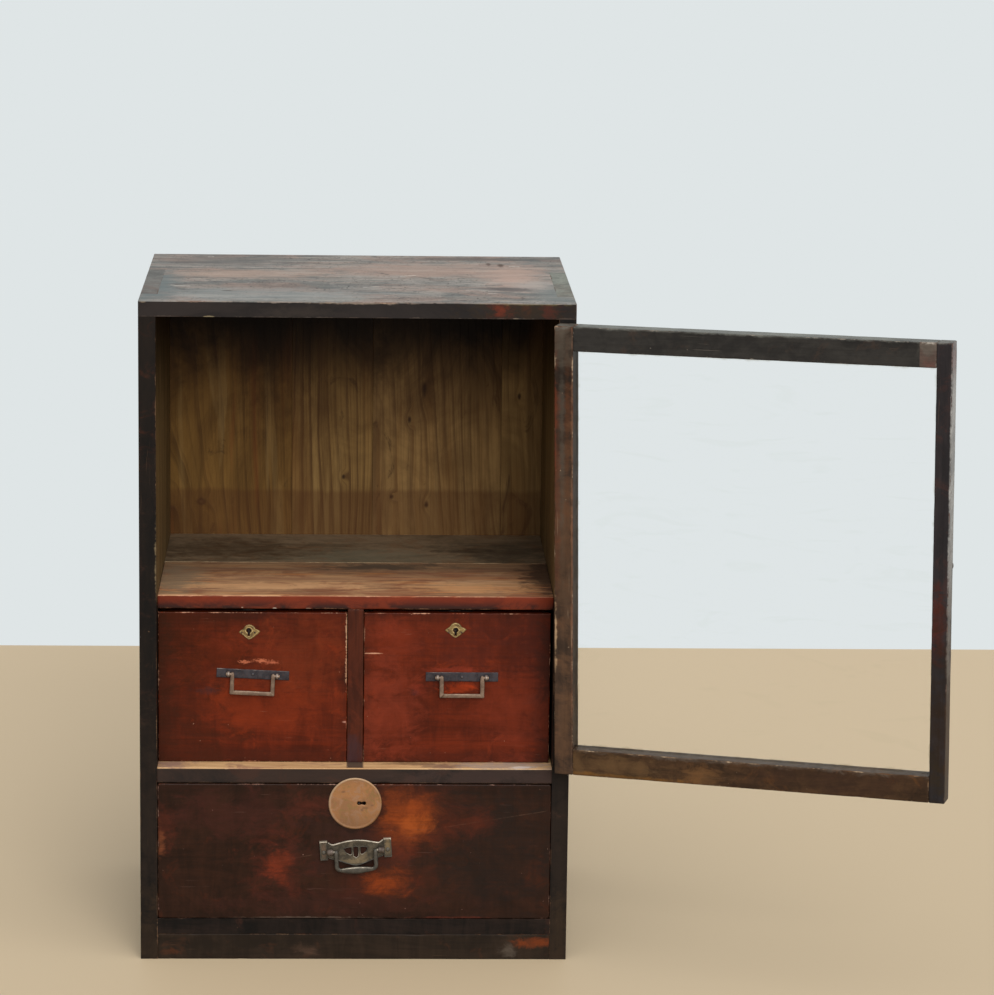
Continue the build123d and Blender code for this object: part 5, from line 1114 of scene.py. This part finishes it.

# Small pulls. A long flat iron plate, two eyes with shanks clinched behind the front, and a square-cornered
# bail that swings in them. The bail is worn to a brownish bright, the plate is still dark and blue-grey.
# Painted highlights lie on the plate's top arris, the upper sides of the eyes and the bail's upper arrises.
pull_iron = old_iron("pull_plate_iron", dye(36, 34, 39), dye(60, 57, 61), dye(142, 128, 118), dye(78, 54, 46),
                     3.0, 0.6)
bail_iron = old_iron("pull_bail_iron", dye(100, 80, 65), dye(132, 109, 90), dye(184, 158, 134),
                     dye(104, 74, 54), 4.0, 0.45, 0.8)
eye_iron = old_iron("pull_eye_iron", dye(72, 62, 56), dye(104, 92, 83), dye(158, 142, 130), dye(84, 62, 50),
                    5.0, 0.7, 0.7, 0.5)


def in_plane(grid, origin, tilt):
    """Takes places in a pull's own plane (right, up, out of
    the front) to the cabinet's, turned by the pull's tilt."""
    c, s = math.cos(tilt), math.sin(tilt)
    right, up = np.array([c, 0, s]), np.array([-s, 0, c])
    return np.array(origin) + grid[..., :1] * right + grid[..., 1:2] * up + grid[..., 2:] * to_front


def rounded_path(corners, radii, legs, bend=7):
    """An open outline: straight legs with a given number of points each,
    joined by arcs. The arc at a corner starts and ends where it touches the
    legs, at the radius times the tangent of half the turn from the corner."""
    corners = np.array(corners, float)
    pieces = []
    begin = corners[0]
    for index in range(1, len(corners) - 1):
        before = corners[index] - corners[index - 1]
        after = corners[index + 1] - corners[index]
        before /= np.linalg.norm(before)
        after /= np.linalg.norm(after)
        angle = math.acos(np.clip(before.dot(after), -1, 1))
        back = radii[index - 1] * math.tan(angle / 2)
        first, last = corners[index] - before * back, corners[index] + after * back
        share = np.linspace(0, 1, legs[index - 1], endpoint=False)[:, None]
        pieces.append(begin * (1 - share) + first * share)
        normal = after - before * before.dot(after)
        normal /= np.linalg.norm(normal)
        centre = first + normal * radii[index - 1]
        swing = np.linspace(0, angle, bend)[:, None]
        pieces.append(centre - normal * radii[index - 1] * np.cos(swing)
                      + before * radii[index - 1] * np.sin(swing))
        begin = last
    share = np.linspace(0, 1, legs[-1] + 1)[1:, None]
    pieces.append(begin * (1 - share) + corners[-1] * share)
    return np.concatenate(pieces)


def forged_bar(outer, inner, level, depth, around=20, power=4.0, hammered=0.00012, seed=1):
    """A flat-sided bar between an outer and an inner outline. Each row is a rounded square, a
    superellipse, as wide as the two outlines are apart and as deep as given; both ends close in on a
    quarter circle, and the rows are a little uneven, as a hammer leaves them. Returns the rows and how
    bright each point is: the front arrises, worn, and of those the ones that look up more than the
    rest, as painted highlight."""
    turn = np.linspace(0, 2 * np.pi, around, endpoint=False)
    c, s = np.cos(turn), np.sin(turn)
    c, s = np.sign(c) * np.abs(c) ** (2 / power), np.sign(s) * np.abs(s) ** (2 / power)
    middle, half = (outer + inner) / 2, (outer - inner) / 2
    rows = len(outer)
    size = np.ones(rows)
    size[:3] = size[-3:][::-1] = (0.45, 0.8, 0.95)
    size = size * (1 - hammered / depth * 4 * rough_line(rows, seed, 7))
    depths = np.broadcast_to(depth, (rows,)) / 2
    grid = np.zeros((rows, around, 3))
    grid[..., :2] = middle[:, None] + half[:, None] * (size[:, None] * c)[..., None]
    grid[..., 2] = level + depths[:, None] * size[:, None] * s
    arris = (np.abs(np.cos(turn) * np.sin(turn)) * 2) ** 2 * (np.sin(turn) > 0)
    # Painted highlight: arrises that look up are marked brighter than the rest.
    inward_up = -half[:, 1] / np.linalg.norm(half, axis=1)
    lit_from_above = np.clip(0.22 + 0.9 * inward_up[:, None] * -np.cos(turn)[None], 0, 1)
    return grid, arris[None] * lit_from_above * (0.6 + 0.4 * rough_line(rows, seed + 3, 5)[:, None])


def swept(path, radius, around=12, closed=False):
    """A round wire along a flat path: at each point the circle lies across the path's direction, which is the
    difference of its neighbours. The radius may change along it."""
    path = np.array(path, float)
    if closed:
        ahead = np.roll(path, -1, 0) - np.roll(path, 1, 0)
    else:
        ahead = np.gradient(path, axis=0)
    ahead /= np.linalg.norm(ahead, axis=1)[:, None]
    side = np.stack([-ahead[:, 1], ahead[:, 0], np.zeros(len(path))], -1)
    side /= np.linalg.norm(side, axis=1)[:, None]
    other = np.cross(ahead, side)
    turn = np.linspace(0, 2 * np.pi, around, endpoint=False)
    radius = np.broadcast_to(radius, (len(path),))[:, None, None]
    circle = np.cos(turn)[None, :, None] * side[:, None] + np.sin(turn)[None, :, None] * other[:, None]
    return path[:, None] + radius * circle


pulls = {"left": ((-0.1087, set_back, 0.308), math.radians(-2.5), 61),
         "right": ((0.1132, set_back, 0.306), 0.0, 71)}
eye_across, bail_level = 0.0258, 0.0055
for hand, (origin, tilt, seed) in pulls.items():
    plate = worn_board((-0.0385, -0.005, 0.0), (0.0385, 0.005, 0.0015), 0, 0.0004, 0.0005, seed, 0.0015)
    height_in_plate = (plate[..., 1] + 0.005) / 0.01
    # The plate's front arrises are marked bright, the top one most: wear, with painted highlight on the top
    # arris.
    mark = (plate[..., 2] > 0.0010) * (0.3 + 0.6 * rough_line(len(plate), seed + 1, 5)[:, None]) * (
        np.clip((height_in_plate - 0.93) / 0.05, 0, 1)
        + 0.35 * np.clip((0.06 - height_in_plate) / 0.05, 0, 1))
    flat_plate = skin(hand + "_hammered_plate", [in_plane(plate, origin, tilt)], hand + "_drawer",
                      pull_iron, marks=[mark])
    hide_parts(hand + "_pull_plate")

    turn_once = np.linspace(0, 2 * np.pi, 28, endpoint=False)
    wire = np.linspace(0, 2 * np.pi, 14, endpoint=False)
    far = 0.0024 + 0.00078 * np.cos(wire)[None, :]
    rings = [np.stack([side * eye_across + 0.0015 * np.sin(wire)[None, :] * np.ones((28, 1)),
                       far * np.sin(turn_once)[:, None], bail_level + far * np.cos(turn_once)[:, None]], -1)
             for side in (-1, 1)]
    # Painted highlight on the upper side of each eye.
    eye_highlight = np.clip(0.35 + 0.65 * np.maximum(0, np.cos(turn_once - 0.6)), 0, 1)
    ring_marks = [eye_highlight[:, None] * np.ones((28, 14))] * 2
    eyes = skin(hand + "_forged_eyes", [in_plane(eye, origin, tilt) for eye in rings], hand + "_drawer",
                eye_iron, True, ring_marks)
    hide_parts(hand + "_pull_eyes")
    shanks = [in_plane(dome((side * eye_across, 0.0, 0.0), 0.0016, 0.003, (0, 0, 1), 0.2, 14), origin, tilt)
              for side in (-1, 1)]
    clinched = [in_plane(dome((side * eye_across, 0.0, -0.016), 0.0026, 0.0012, (0, 0, -1), 0.4, 14, 0.2,
                              seed + side),
                         origin, tilt) for side in (-1, 1)]
    skin(hand + "_eye_shanks", shanks + clinched, hand + "_drawer", hinge_iron)

    outer = rounded_path([(-24, 2.3), (-24, -22), (24, -22), (24, 2.3)], (1.1, 1.1), (14, 26, 14)) / 1000
    inner = rounded_path([(-19.2, 2.3), (-19.2, -17.2), (19.2, -17.2), (19.2, 2.3)], (0.6, 0.6),
                         (14, 26, 14)) / 1000
    bar, bar_mark = forged_bar(outer, inner, bail_level, 0.0035, seed=seed)
    pieces, marks = [in_plane(bar, origin, tilt)], [bar_mark]
    for side in (-1, 1):
        stretch = np.linspace(0.0215, 0.0284, 12)
        pin_radius = 0.00145 * np.ones(12)
        pin_radius[-3:] = (0.0017, 0.00165, 0.0011)
        path = np.stack([side * stretch, np.zeros(12), bail_level * np.ones(12)], -1)
        pieces.append(in_plane(swept(path, pin_radius), origin, tilt))
        marks.append(np.linspace(0.3, 1, 12)[:, None] * np.ones((12, 12)))
    bail = skin(hand + "_forged_bail", pieces, hand + "_bail", bail_iron, marks=marks)
    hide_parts(hand + "_pull_bail")

    key = escutcheons[hand][1]
    tacks = [dome((key[0] + aside, 0.0231, key[1] - 0.0023), 0.001, 0.0005, (0, -1, 0), 0.6, 12)
             for aside in (-0.0075, 0.0063)]
    tack_heads = skin(hand + "_escutcheon_tacks", tacks, hand + "_drawer", rusty)
    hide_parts(hand + "_fitting_pins")
    nail = in_plane(dome((0.0, 0.0, 0.0015), 0.0018, 0.0008, (0, 0, 1), 0.6, 14, 0.2, seed), origin, tilt)
    skin(hand + "_plate_nail", [nail], hand + "_drawer", pull_iron,
         marks=[np.linspace(0, 0.5, 7)[:, None] * np.ones((7, 14))])

    for node in ("lock_case", "lock_bolt"):
        finish(f"{hand}_{node}", hinge_iron)

# Large drawer. A thick front with rounded corners, dark brown lacquer rubbed
# through to orange in broad places round the pull, on a box of plain boards.
large_face = edge_of("large_drawer_front", 0, 1)
low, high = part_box("large_drawer_front")
finish("large_drawer_front", lacquered(
    "large_drawer_lacquer", low, high, 0, dye(34, 20, 12), dye(54, 31, 20), dye(68, 32, 17),
    dye(152, 116, 100), 0.001, 0.54, seed=5.5, gloss=0.36, scratches=0.3, specular=0.1, cover=0.25,
    specks=0.5, lines=0.2, rim_darkening=0.35,
    patches=(
        ((0.15, 0.0, 0.12), (0.06, 0.02, 0.06), dye(30, 24, 20), 0.75),
        ((-0.13, 0.0, 0.16), (0.06, 0.02, 0.02), dye(66, 33, 25), 0.7),
        ((0.0, 0.0, 0.125), (0.05, 0.02, 0.03), dye(56, 32, 27), 0.6),
        ((0.068, 0.0, 0.158), (0.045, 0.02, 0.032), dye(88, 38, 22), 0.8, 2.0, 42.0, 0.9),
        ((0.056, 0.0, 0.158), (0.026, 0.02, 0.022), dye(146, 66, 25), 0.9, 1.8, 46.0, 0.95),
        ((0.066, 0.0, 0.15), (0.012, 0.02, 0.008), dye(168, 82, 32), 0.7, 2.2, 80.0, 0.9),
        ((0.049, 0.0, 0.119), (0.009, 0.02, 0.012), dye(98, 42, 24), 0.75, 2.0, 60.0, 0.9),
        ((0.03, 0.0, 0.083), (0.045, 0.02, 0.016), dye(76, 34, 20), 0.75, 2.0, 42.0, 0.9),
        ((0.033, 0.0, 0.085), (0.018, 0.02, 0.011), dye(150, 64, 22), 0.85, 1.8, 60.0, 0.95),
        # Painted shadow of the pull on the front, inside the bail below the web.
        ((0.001, 0.0, 0.107), (0.019, 0.02, 0.006), dye(20, 15, 11), 0.9, 0.6, 120.0, 0.4),
        # Painted shade on the front where it shows through the pull's fan openings.
        ((0.0015, 0.0, 0.122), (0.014, 0.02, 0.006), dye(34, 17, 10), 0.8, 0.6, 120.0, 0.4),
        # Painted shadow in a soft ring round the lock plate.
        ((0.0025, 0.0, 0.1709), (0.0305, 0.02, 0.0305), dye(26, 16, 12), 0.75, 0.5, 90.0, 0.14),
        ((-0.083, 0.0, 0.104), (0.028, 0.02, 0.026), dye(78, 35, 24), 0.75),
        ((-0.083, 0.0, 0.106), (0.011, 0.02, 0.015), dye(124, 50, 27), 0.75),
        ((-0.203, 0.0, 0.15), (0.012, 0.02, 0.02), dye(80, 36, 23), 0.75),
        ((-0.05, 0.0, 0.168), (0.02, 0.02, 0.012), dye(84, 38, 26), 0.7),
        ((-0.206, 0.0, 0.132), (0.004, 0.02, 0.012), dye(132, 74, 46), 0.75),
        ((-0.02, 0.0, 0.062), (0.1, 0.02, 0.012), dye(62, 33, 25), 0.6),
        ((-0.06, 0.0, 0.0465), (0.06, 0.02, 0.001), dye(104, 88, 76), 0.8, 2.6, 160.0),
        ((0.1, 0.0, 0.0465), (0.03, 0.02, 0.0014), dye(96, 44, 32), 0.7, 2.6, 160.0),
    ),
    strokes=(
        ((0.096, large_face, 0.147), (0.204, large_face, 0.165), 0.0006, dye(92, 66, 50), 0.6),
        ((-0.08, large_face, 0.109), (-0.045, large_face, 0.116), 0.0005, dye(92, 66, 50), 0.5),
    ),
))
for node, grain in (("sides", 1), ("back", 0), ("bottom", 0)):
    low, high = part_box("large_drawer_" + node)
    finish("large_drawer_" + node, plain_wood(f"large_drawer_{node}_wood", low, high, grain,
                                              dye(170, 132, 92), dye(132, 96, 64), 6.0 + grain))
for node in ("large_lock_case", "large_lock_bolt"):
    finish(node, hinge_iron)

# Round lock plate. Beaten copper alloy with a rolled rim, a little dished, with a two-lobed
# keyhole right of its middle. It has gone tan and orange in blotches, and its rim is paler.
copper = Finish("lock_plate_copper")
broad = copper.cloud((110.0, 110.0, 110.0), 5.0, 0.6, 0.8, shift=(4.0, 1.0, 2.0))
soft = copper.cloud((45.0, 45.0, 45.0), 3.0, 0.6, 0.4, shift=(1.0, 7.0, 2.0))
fine = copper.cloud((1300.0, 1300.0, 1300.0), 4.0, 0.65)
colour = copper.blend(copper.band(soft, 0.4, 0.6), dye(140, 97, 61), dye(158, 108, 63))
colour = copper.blend(copper.both(copper.band(broad, 0.5, 0.6), 0.75), colour, dye(154, 115, 84))
colour = copper.blend(copper.both(copper.band(broad, 0.46, 0.38), 0.7), colour, dye(132, 101, 56))
colour = copper.blend(copper.both(copper.band(fine, 0.55, 0.7), 0.45), colour, dye(112, 78, 52))
rise = copper.part(copper.place, 2)
# Painted shade: the plate darkens towards its lower half.
colour = copper.blend(copper.band(rise, 0.172, 0.148, 0.0, 0.6), colour, dye(112, 77, 46))
colour = copper.blend(copper.wear_and_highlight(), colour, dye(176, 146, 114))
pit_brown = dye(96, 66, 46)
colour = copper.worn_and_shaded_places(colour, (
    ((0.012, 0.0, 0.168), (0.003, 0.01, 0.001), pit_brown, 0.6),
    ((0.008, 0.0, 0.166), (0.0012, 0.01, 0.001), pit_brown, 0.6),
    ((0.019, 0.0, 0.171), (0.002, 0.01, 0.0012), pit_brown, 0.6),
    ((-0.012, 0.0, 0.186), (0.002, 0.01, 0.0012), pit_brown, 0.6),
), 1.4, 300.0)
copper.relief(broad, 0.00018)
copper.relief(fine, 0.00004)
copper_material = copper.close(colour, copper.sum("MULTIPLY_ADD", broad, 0.25, 0.42), 0.35)
rim_turn = np.linspace(-np.pi, np.pi, 128, endpoint=False)
plate_radius = 0.02825
plate_centre = np.array([0.0005, large_face, 0.1729])
key_shift = np.array([0.0069, 0.0004])
lobes = np.stack([0.0026 * np.sign(np.cos(rim_turn)) * np.minimum(np.abs(np.cos(rim_turn)) * 3, 1),
                  np.zeros(128)], -1)
two_lobed = lobes + 0.0021 * np.stack([np.cos(rim_turn), np.sin(rim_turn)], -1) * np.where(
    np.abs(np.cos(rim_turn)) < 0.3, 0.55 + 1.5 * np.abs(np.cos(rim_turn)), 1.0)[:, None]
hole = two_lobed + key_shift
far = np.stack([np.cos(rim_turn), np.sin(rim_turn)], -1)
along_ray = -(far @ key_shift) + np.sqrt((far @ key_shift) ** 2 + plate_radius ** 2 - key_shift @ key_shift)
rim = key_shift + far * along_ray[:, None]


def dished(share, front):
    """Height by distance from the plate's middle: a faint dish, and a half-round rim over the last 2 mm."""
    distance = np.linalg.norm(front, axis=-1)
    height = 0.00075 + 0.00012 * (distance / 0.026) ** 2
    roll = np.clip((distance - 0.0259) / 0.00235, 0, 1)
    return np.where(share[:, None] < 0.01, 0.0006,
                    height + 0.0003 * np.sin(np.pi * roll) - 0.00035 * roll ** 6)


disc = keyed_plate(rim, hole, plate_centre, (x_axis, z_axis, to_front), dished, 40)
spot = disc[..., [0, 2]] - plate_centre[[0, 2]]
rim_mark = np.clip((np.linalg.norm(spot, axis=-1) - 0.0256) / 0.0016, 0, 1) * np.clip(
    0.35 + 0.5 * np.sin(np.arctan2(spot[..., 1], spot[..., 0]) - 0.6), 0, 1)
lock_plate = skin("beaten_lock_plate", [disc], "large_drawer", copper_material, True,
                  [rim_mark])
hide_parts("large_lock_plate")

# Large pull. A cast iron plate with an arched top, a pointed lower edge and three fan openings, all
# edged with a raised bead; its lugs are riveted to the front, and a thick bail hangs between two bosses.
large_origin, large_tilt = (0.0015, large_face, 0.122), math.radians(3.4)
large_right = (math.cos(large_tilt), 0, math.sin(large_tilt))
large_up = (-math.sin(large_tilt), 0, math.cos(large_tilt))
cast_iron = old_iron("cast_bail_iron", dye(52, 50, 45), dye(80, 75, 66), dye(178, 166, 148), dye(80, 68, 54),
                     6.0, 0.55, 1.0, 0.42)


def cast_plate_iron():
    """The plate's iron: green-grey scale, rust in the middle
    of each lug, tan wear low on the web, and a painted highlight along the top edges."""
    cast = Finish("cast_plate_iron")
    cast.turn_to(large_origin, large_right, large_up, (0, -1, 0))
    broad = cast.cloud((130.0, 130.0, 130.0), 5.0, 0.66, 0.6, shift=(4.0, 1.0, 2.0))
    fine = cast.cloud((900.0, 900.0, 900.0), 4.0, 0.65)
    colour = cast.blend(cast.band(broad, 0.38, 0.62), dye(54, 48, 37), dye(86, 76, 60))
    colour = cast.blend(cast.both(cast.band(fine, 0.5, 0.68), 0.5), colour, dye(66, 56, 44))
    colour = cast.worn_and_shaded_places(colour, (
        ((-0.034, 0.002, 0.004), (0.0024, 0.006, 0.004), dye(104, 80, 62), 0.6),
        ((0.034, 0.003, 0.004), (0.003, 0.006, 0.004), dye(128, 108, 76), 0.7),
        ((0.0, -0.012, 0.002), (0.012, 0.0035, 0.004), dye(130, 112, 84), 0.7),
        ((0.008, -0.004, 0.002), (0.003, 0.006, 0.004), dye(112, 96, 72), 0.6),
    ), 1.8, 260.0)
    rise = cast.part(cast.place, 1)
    # Painted highlight along the plate's top edges.
    top_edge_highlight = cast.band(cast.sum("MULTIPLY_ADD", fine, 0.001, rise), 0.0112, 0.0119)
    colour = cast.blend(cast.both(top_edge_highlight, 0.8), colour, dye(190, 178, 156))
    cast.relief(broad, 0.0003)
    cast.relief(fine, 0.00008)
    return cast.close(colour, cast.sum("MULTIPLY_ADD", broad, 0.25, 0.36), 0.5)


finish("large_pull_plate", cast_plate_iron())


def bowed(points, count):
    """A smooth path through points: each coordinate is interpolated over
    the points' running length, then smoothed by a raised-cosine window."""
    points = np.array(points, float)
    run = np.concatenate([[0], np.cumsum(np.linalg.norm(np.diff(points, axis=0), axis=1))])
    at = np.linspace(0, run[-1], count)
    path = np.stack([np.interp(at, run, points[:, k]) for k in range(points.shape[1])], -1)
    window = np.hanning(9)[1:-1]
    padded = np.concatenate([np.repeat(path[:1], 3, 0), path, np.repeat(path[-1:], 3, 0)])
    return np.stack([np.convolve(padded[:, k], window / window.sum(), "valid")
                     for k in range(path.shape[1])], -1)


def lifted(path, level):
    """A flat path in the pull's plane, in mm, as places at a level above it in metres."""
    return np.concatenate([path, np.full((len(path), 1), level)], 1) / 1000


top_bead = lifted(bowed([(-30, 10.2), (-28, 8.8), (-25, 6.6), (-18, 8.2), (-10, 10.0), (0, 10.8), (10, 10.0),
                         (18, 8.2), (25, 6.6), (28, 8.8), (30, 10.6)], 60), 2.2)
low_bead = lifted(bowed([(-29.5, -7), (-19, -10.4), (-4, -16), (0, -16.8), (4, -16), (19, -10.4), (29.5, -7)],
                        50), 2.2)
fans = [
    [(-6.4, -5), (-4.2, -4.4), (-4.2, 3.4), (-5.6, 3.9), (-12.6, 2.6), (-12.8, 1.6), (-10.8, -2.2)],
    [(6.9, -5), (4.7, -4.4), (4.7, 3.2), (6.2, 3.8), (12.6, 2.8), (12.8, 1.8), (11.0, -2.0)],
    [(-2.8, -6.2), (-2.8, 3.6), (-1.8, 4.2), (1.8, 4.2), (2.8, 3.4), (2.8, -6.2), (0, -8.9)],
]
beads = [swept(top_bead, 0.0009 * np.concatenate([[0.5], np.ones(58), [0.5]])),
         swept(low_bead, 0.0006 * np.concatenate([[0.5], np.ones(48), [0.5]]))]
bead_marks = [0.55 + 0.45 * rough_line(60, 5, 7)[:, None] * np.ones((60, 12)),
              0.45 * rough_line(50, 6, 9)[:, None] * np.ones((50, 12))]
rivet_across = 0.034
rivets = [dome((side * rivet_across, -0.0005, 0.0042), 0.0024, 0.0007, (0, 0, 1), 0.7, 18, 0.1, 5)
          for side in (-1, 1)]
backs = [dome((side * rivet_across, 0.0, -0.0184), 0.0032, 0.0012, (0, 0, -1), 0.4, 16, 0.2, 7)
         for side in (-1, 1)]
skin("cast_beads_and_rivets", [in_plane(grid, large_origin, large_tilt) for grid in beads + rivets + backs],
     "large_drawer", cast_iron,
     marks=bead_marks + [np.linspace(0.2, 0.45, 7)[:, None] * np.ones((7, 18))] * 2 + [np.zeros((7, 16))] * 2)
large_bail_up, large_bail_level = 0.0006, 0.008


def barrel(side, profile, around=24):
    """A boss: each point (along, radius) of the profile is carried once round the bail's own axis."""
    turn = np.linspace(0, 2 * np.pi, around, endpoint=False)
    profile = np.array(profile) / 1000
    grid = np.zeros((len(profile), around, 3))
    grid[..., 0] = side * profile[:, :1]
    grid[..., 1] = large_bail_up + profile[:, 1:] * np.sin(turn)[None]
    grid[..., 2] = large_bail_level + profile[:, 1:] * np.cos(turn)[None]
    # Painted highlight on the side of each boss that faces front and up.
    boss_glint = np.clip(np.cos(turn - 0.7), 0, 1) ** 3
    along_boss = np.interp(profile[:, 0], np.array([24, 25.2, 27.4, 30.4]) / 1000, [0.3, 0.6, 0.4, 0.05])
    return grid, along_boss[:, None] * boss_glint[None]


boss_profile = [(23.95, 1.7), (24.0, 2.9), (24.5, 3.3), (25.4, 3.5), (26.6, 3.35), (27.2, 3.25), (27.8, 3.35),
                (29.0, 3.5), (30.0, 3.35), (30.4, 2.6)]
bosses = [barrel(side, boss_profile) for side in (-1, 1)]
skin("cast_bosses", [in_plane(grid, large_origin, large_tilt) for grid, _ in bosses], "large_drawer",
     eye_iron, marks=[mark for _, mark in bosses])


def looped(points, count):
    """A closed path through points, with count places at even distances along its straight runs."""
    loop = np.array(list(points) + [points[0]], float)
    run = np.concatenate([[0], np.cumsum(np.linalg.norm(np.diff(loop, axis=0), axis=1))])
    at = np.linspace(0, run[-1], count, endpoint=False)
    return np.stack([np.interp(at, run, loop[:, k]) for k in range(2)], -1)


fan_lines = [looped(fan, 48) for fan in fans]
fan_rims = [in_plane(swept(lifted(line, 2.2), 0.00042, 10, True), large_origin, large_tilt)
            for line in fan_lines]
# Painted highlight, brighter low on each opening.
fan_marks = [(np.clip(-line[:, 1:] / 6, 0, 1) ** 0.5 * 0.75) * np.ones((48, 10)) for line in fan_lines]
skin("cast_fan_rims", fan_rims, "large_drawer", cast_iron, True, fan_marks)
lug_rims, lug_marks = [], []
for side in (-1, 1):
    frame_line = looped([(side * 30.5, -8.3), (side * 30.4, 11.1), (side * 37.6, 11.1), (side * 37.6, -8.3)],
                        72)
    lug_rims.append(in_plane(swept(lifted(frame_line, 4.1), 0.00048, 10, True), large_origin, large_tilt))
    # Painted highlight along the top of each lug's rim, and a fainter one down its outer side.
    lug_marks.append(np.clip(0.12 + (frame_line[:, 1:] > 10.2) * 0.85 + (frame_line[:, :1] * side > 37) * 0.3,
                             0, 1)
                     * np.ones((72, 10)))
skin("cast_lug_rims", lug_rims, "large_drawer", cast_iron, True, lug_marks)

outer = rounded_path([(-23.2, 2.3), (-23.2, -21.8), (23.2, -21.8), (23.2, 2.3)], (6.5, 6.5), (16, 34, 16),
                     13) / 1000
inner = rounded_path([(-18.6, 2.3), (-18.6, -17.8), (18.6, -17.8), (18.6, 2.3)], (2.6, 2.6), (16, 34, 16),
                     13) / 1000
outer[:, 1] -= np.where(outer[:, 1] < -0.0215, 0.0023 * np.cos(np.pi / 2 * outer[:, 0] / 0.0167), 0)
inner[:, 1] += np.where(inner[:, 1] < -0.0175, 0.0014 * np.cos(np.pi / 2 * inner[:, 0] / 0.016), 0)
bar, bar_mark = forged_bar(outer, inner, large_bail_level, 0.0046, 22, 3.4, 0.00006, 81)
pieces, marks = [in_plane(bar, large_origin, large_tilt)], [bar_mark]
for side in (-1, 1):
    stretch = np.linspace(0.0205, 0.0283, 12)
    path = np.stack([side * stretch, large_bail_up * np.ones(12), large_bail_level * np.ones(12)], -1)
    pieces.append(in_plane(swept(path, np.full(12, 0.00148)), large_origin, large_tilt))
    marks.append(np.full((12, 12), 0.6))
large_bail = skin("cast_bail", pieces, "large_bail", cast_iron, marks=marks)
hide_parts("large_pull_bail")

# Room. A plain pale floor that ends behind the cabinet, where a pale wall colour begins,
# soft light from the front right and from all round, and the camera at standing height.
floor_half, floor_back = 9, 1.43
floor_mesh = bpy.data.meshes.new("floor")
floor_mesh.from_pydata([(-floor_half, -floor_half, 0), (floor_half, -floor_half, 0),
                        (floor_half, floor_back, 0), (-floor_half, floor_back, 0)], [], [(0, 1, 2, 3)])
floor_piece = bpy.data.objects.new("floor", floor_mesh)
bpy.context.scene.collection.objects.link(floor_piece)
ground = Finish("pale_floor")
floor_mesh.materials.append(ground.close(dye(212, 190, 156), 0.6, specular=0.2))
# Light that bounces off the floor is dimmer than the floor looks, so that it doesn't tint the cabinet.
dim = ground.tree.nodes.new("ShaderNodeBsdfDiffuse")
dim.inputs[0].default_value = dye(120, 108, 92)
bounce = ground.tree.nodes.new("ShaderNodeLightPath")
lit = ground.tree.nodes.new("ShaderNodeMixShader")
ground.tree.links.new(bounce.outputs["Is Diffuse Ray"], lit.inputs[0])
ground.tree.links.new(ground.shader.outputs[0], lit.inputs[1])
ground.tree.links.new(dim.outputs[0], lit.inputs[2])
ground.tree.links.new(lit.outputs[0], ground.out.inputs[0])

# The wall colour is what is looked at, straight, in metal or
# through glass. The light itself comes from the glow.
world = bpy.data.worlds.new("pale_room")
bpy.context.scene.world = world
world.use_nodes = True
tree = world.node_tree
tree.nodes.clear()
glow = tree.nodes.new("ShaderNodeBackground")
glow.inputs[0].default_value = dye(244, 248, 255)
glow.inputs[1].default_value = 0.38
seen = tree.nodes.new("ShaderNodeBackground")
seen.inputs[0].default_value = dye(223, 229, 230)
seen.inputs[1].default_value = 1.0
paths = tree.nodes.new("ShaderNodeLightPath")
looked_at = paths.outputs["Is Camera Ray"]
for ray in ("Is Transmission Ray", "Is Glossy Ray"):
    either = tree.nodes.new("ShaderNodeMath")
    either.operation = "MAXIMUM"
    tree.links.new(looked_at, either.inputs[0])
    tree.links.new(paths.outputs[ray], either.inputs[1])
    looked_at = either.outputs[0]
mixed = tree.nodes.new("ShaderNodeMixShader")
tree.links.new(looked_at, mixed.inputs[0])
tree.links.new(glow.outputs[0], mixed.inputs[1])
tree.links.new(seen.outputs[0], mixed.inputs[2])
world_out = tree.nodes.new("ShaderNodeOutputWorld")
tree.links.new(mixed.outputs[0], world_out.inputs[0])

for name, strength, spread, toward in (
    ("window_light", 1.9, 36, (-0.16, 0.88, -0.36)),
    ("ceiling_light", 1.25, 60, (-0.1, 0.45, -0.9)),
):
    lamp = bpy.data.lights.new(name, "SUN")
    lamp.energy = strength
    lamp.angle = math.radians(spread)
    holder = bpy.data.objects.new(name, lamp)
    holder.rotation_euler = Vector(toward).to_track_quat("-Z", "Y").to_euler()
    bpy.context.scene.collection.objects.link(holder)

# The camera. Its focal length is counted in rows of the view, of which there are 995.
eye_place = (-0.0101, -4.111, 1.3327)
pitch, yaw, roll = math.radians(11.3696), math.radians(2.1892), math.radians(-0.7686)
focal_length, view_rows = 4004.24, 995
ahead = Vector((math.sin(yaw) * math.cos(pitch), math.cos(yaw) * math.cos(pitch), -math.sin(pitch)))
level = Vector((math.cos(yaw), -math.sin(yaw), 0))
below = ahead.cross(level)
right = level * math.cos(roll) + below * math.sin(roll)
down = -level * math.sin(roll) + below * math.cos(roll)
camera = bpy.data.cameras.new("camera")
camera.sensor_width = 36
camera.lens = focal_length * camera.sensor_width / view_rows
camera.clip_end = 100
stand = bpy.data.objects.new("camera", camera)
facing = Matrix((right, -down, -ahead)).transposed().to_4x4()
facing.translation = Vector(eye_place)
stand.matrix_world = facing
bpy.context.scene.collection.objects.link(stand)
bpy.context.scene.camera = stand
bpy.context.scene.view_settings.view_transform = "Standard"
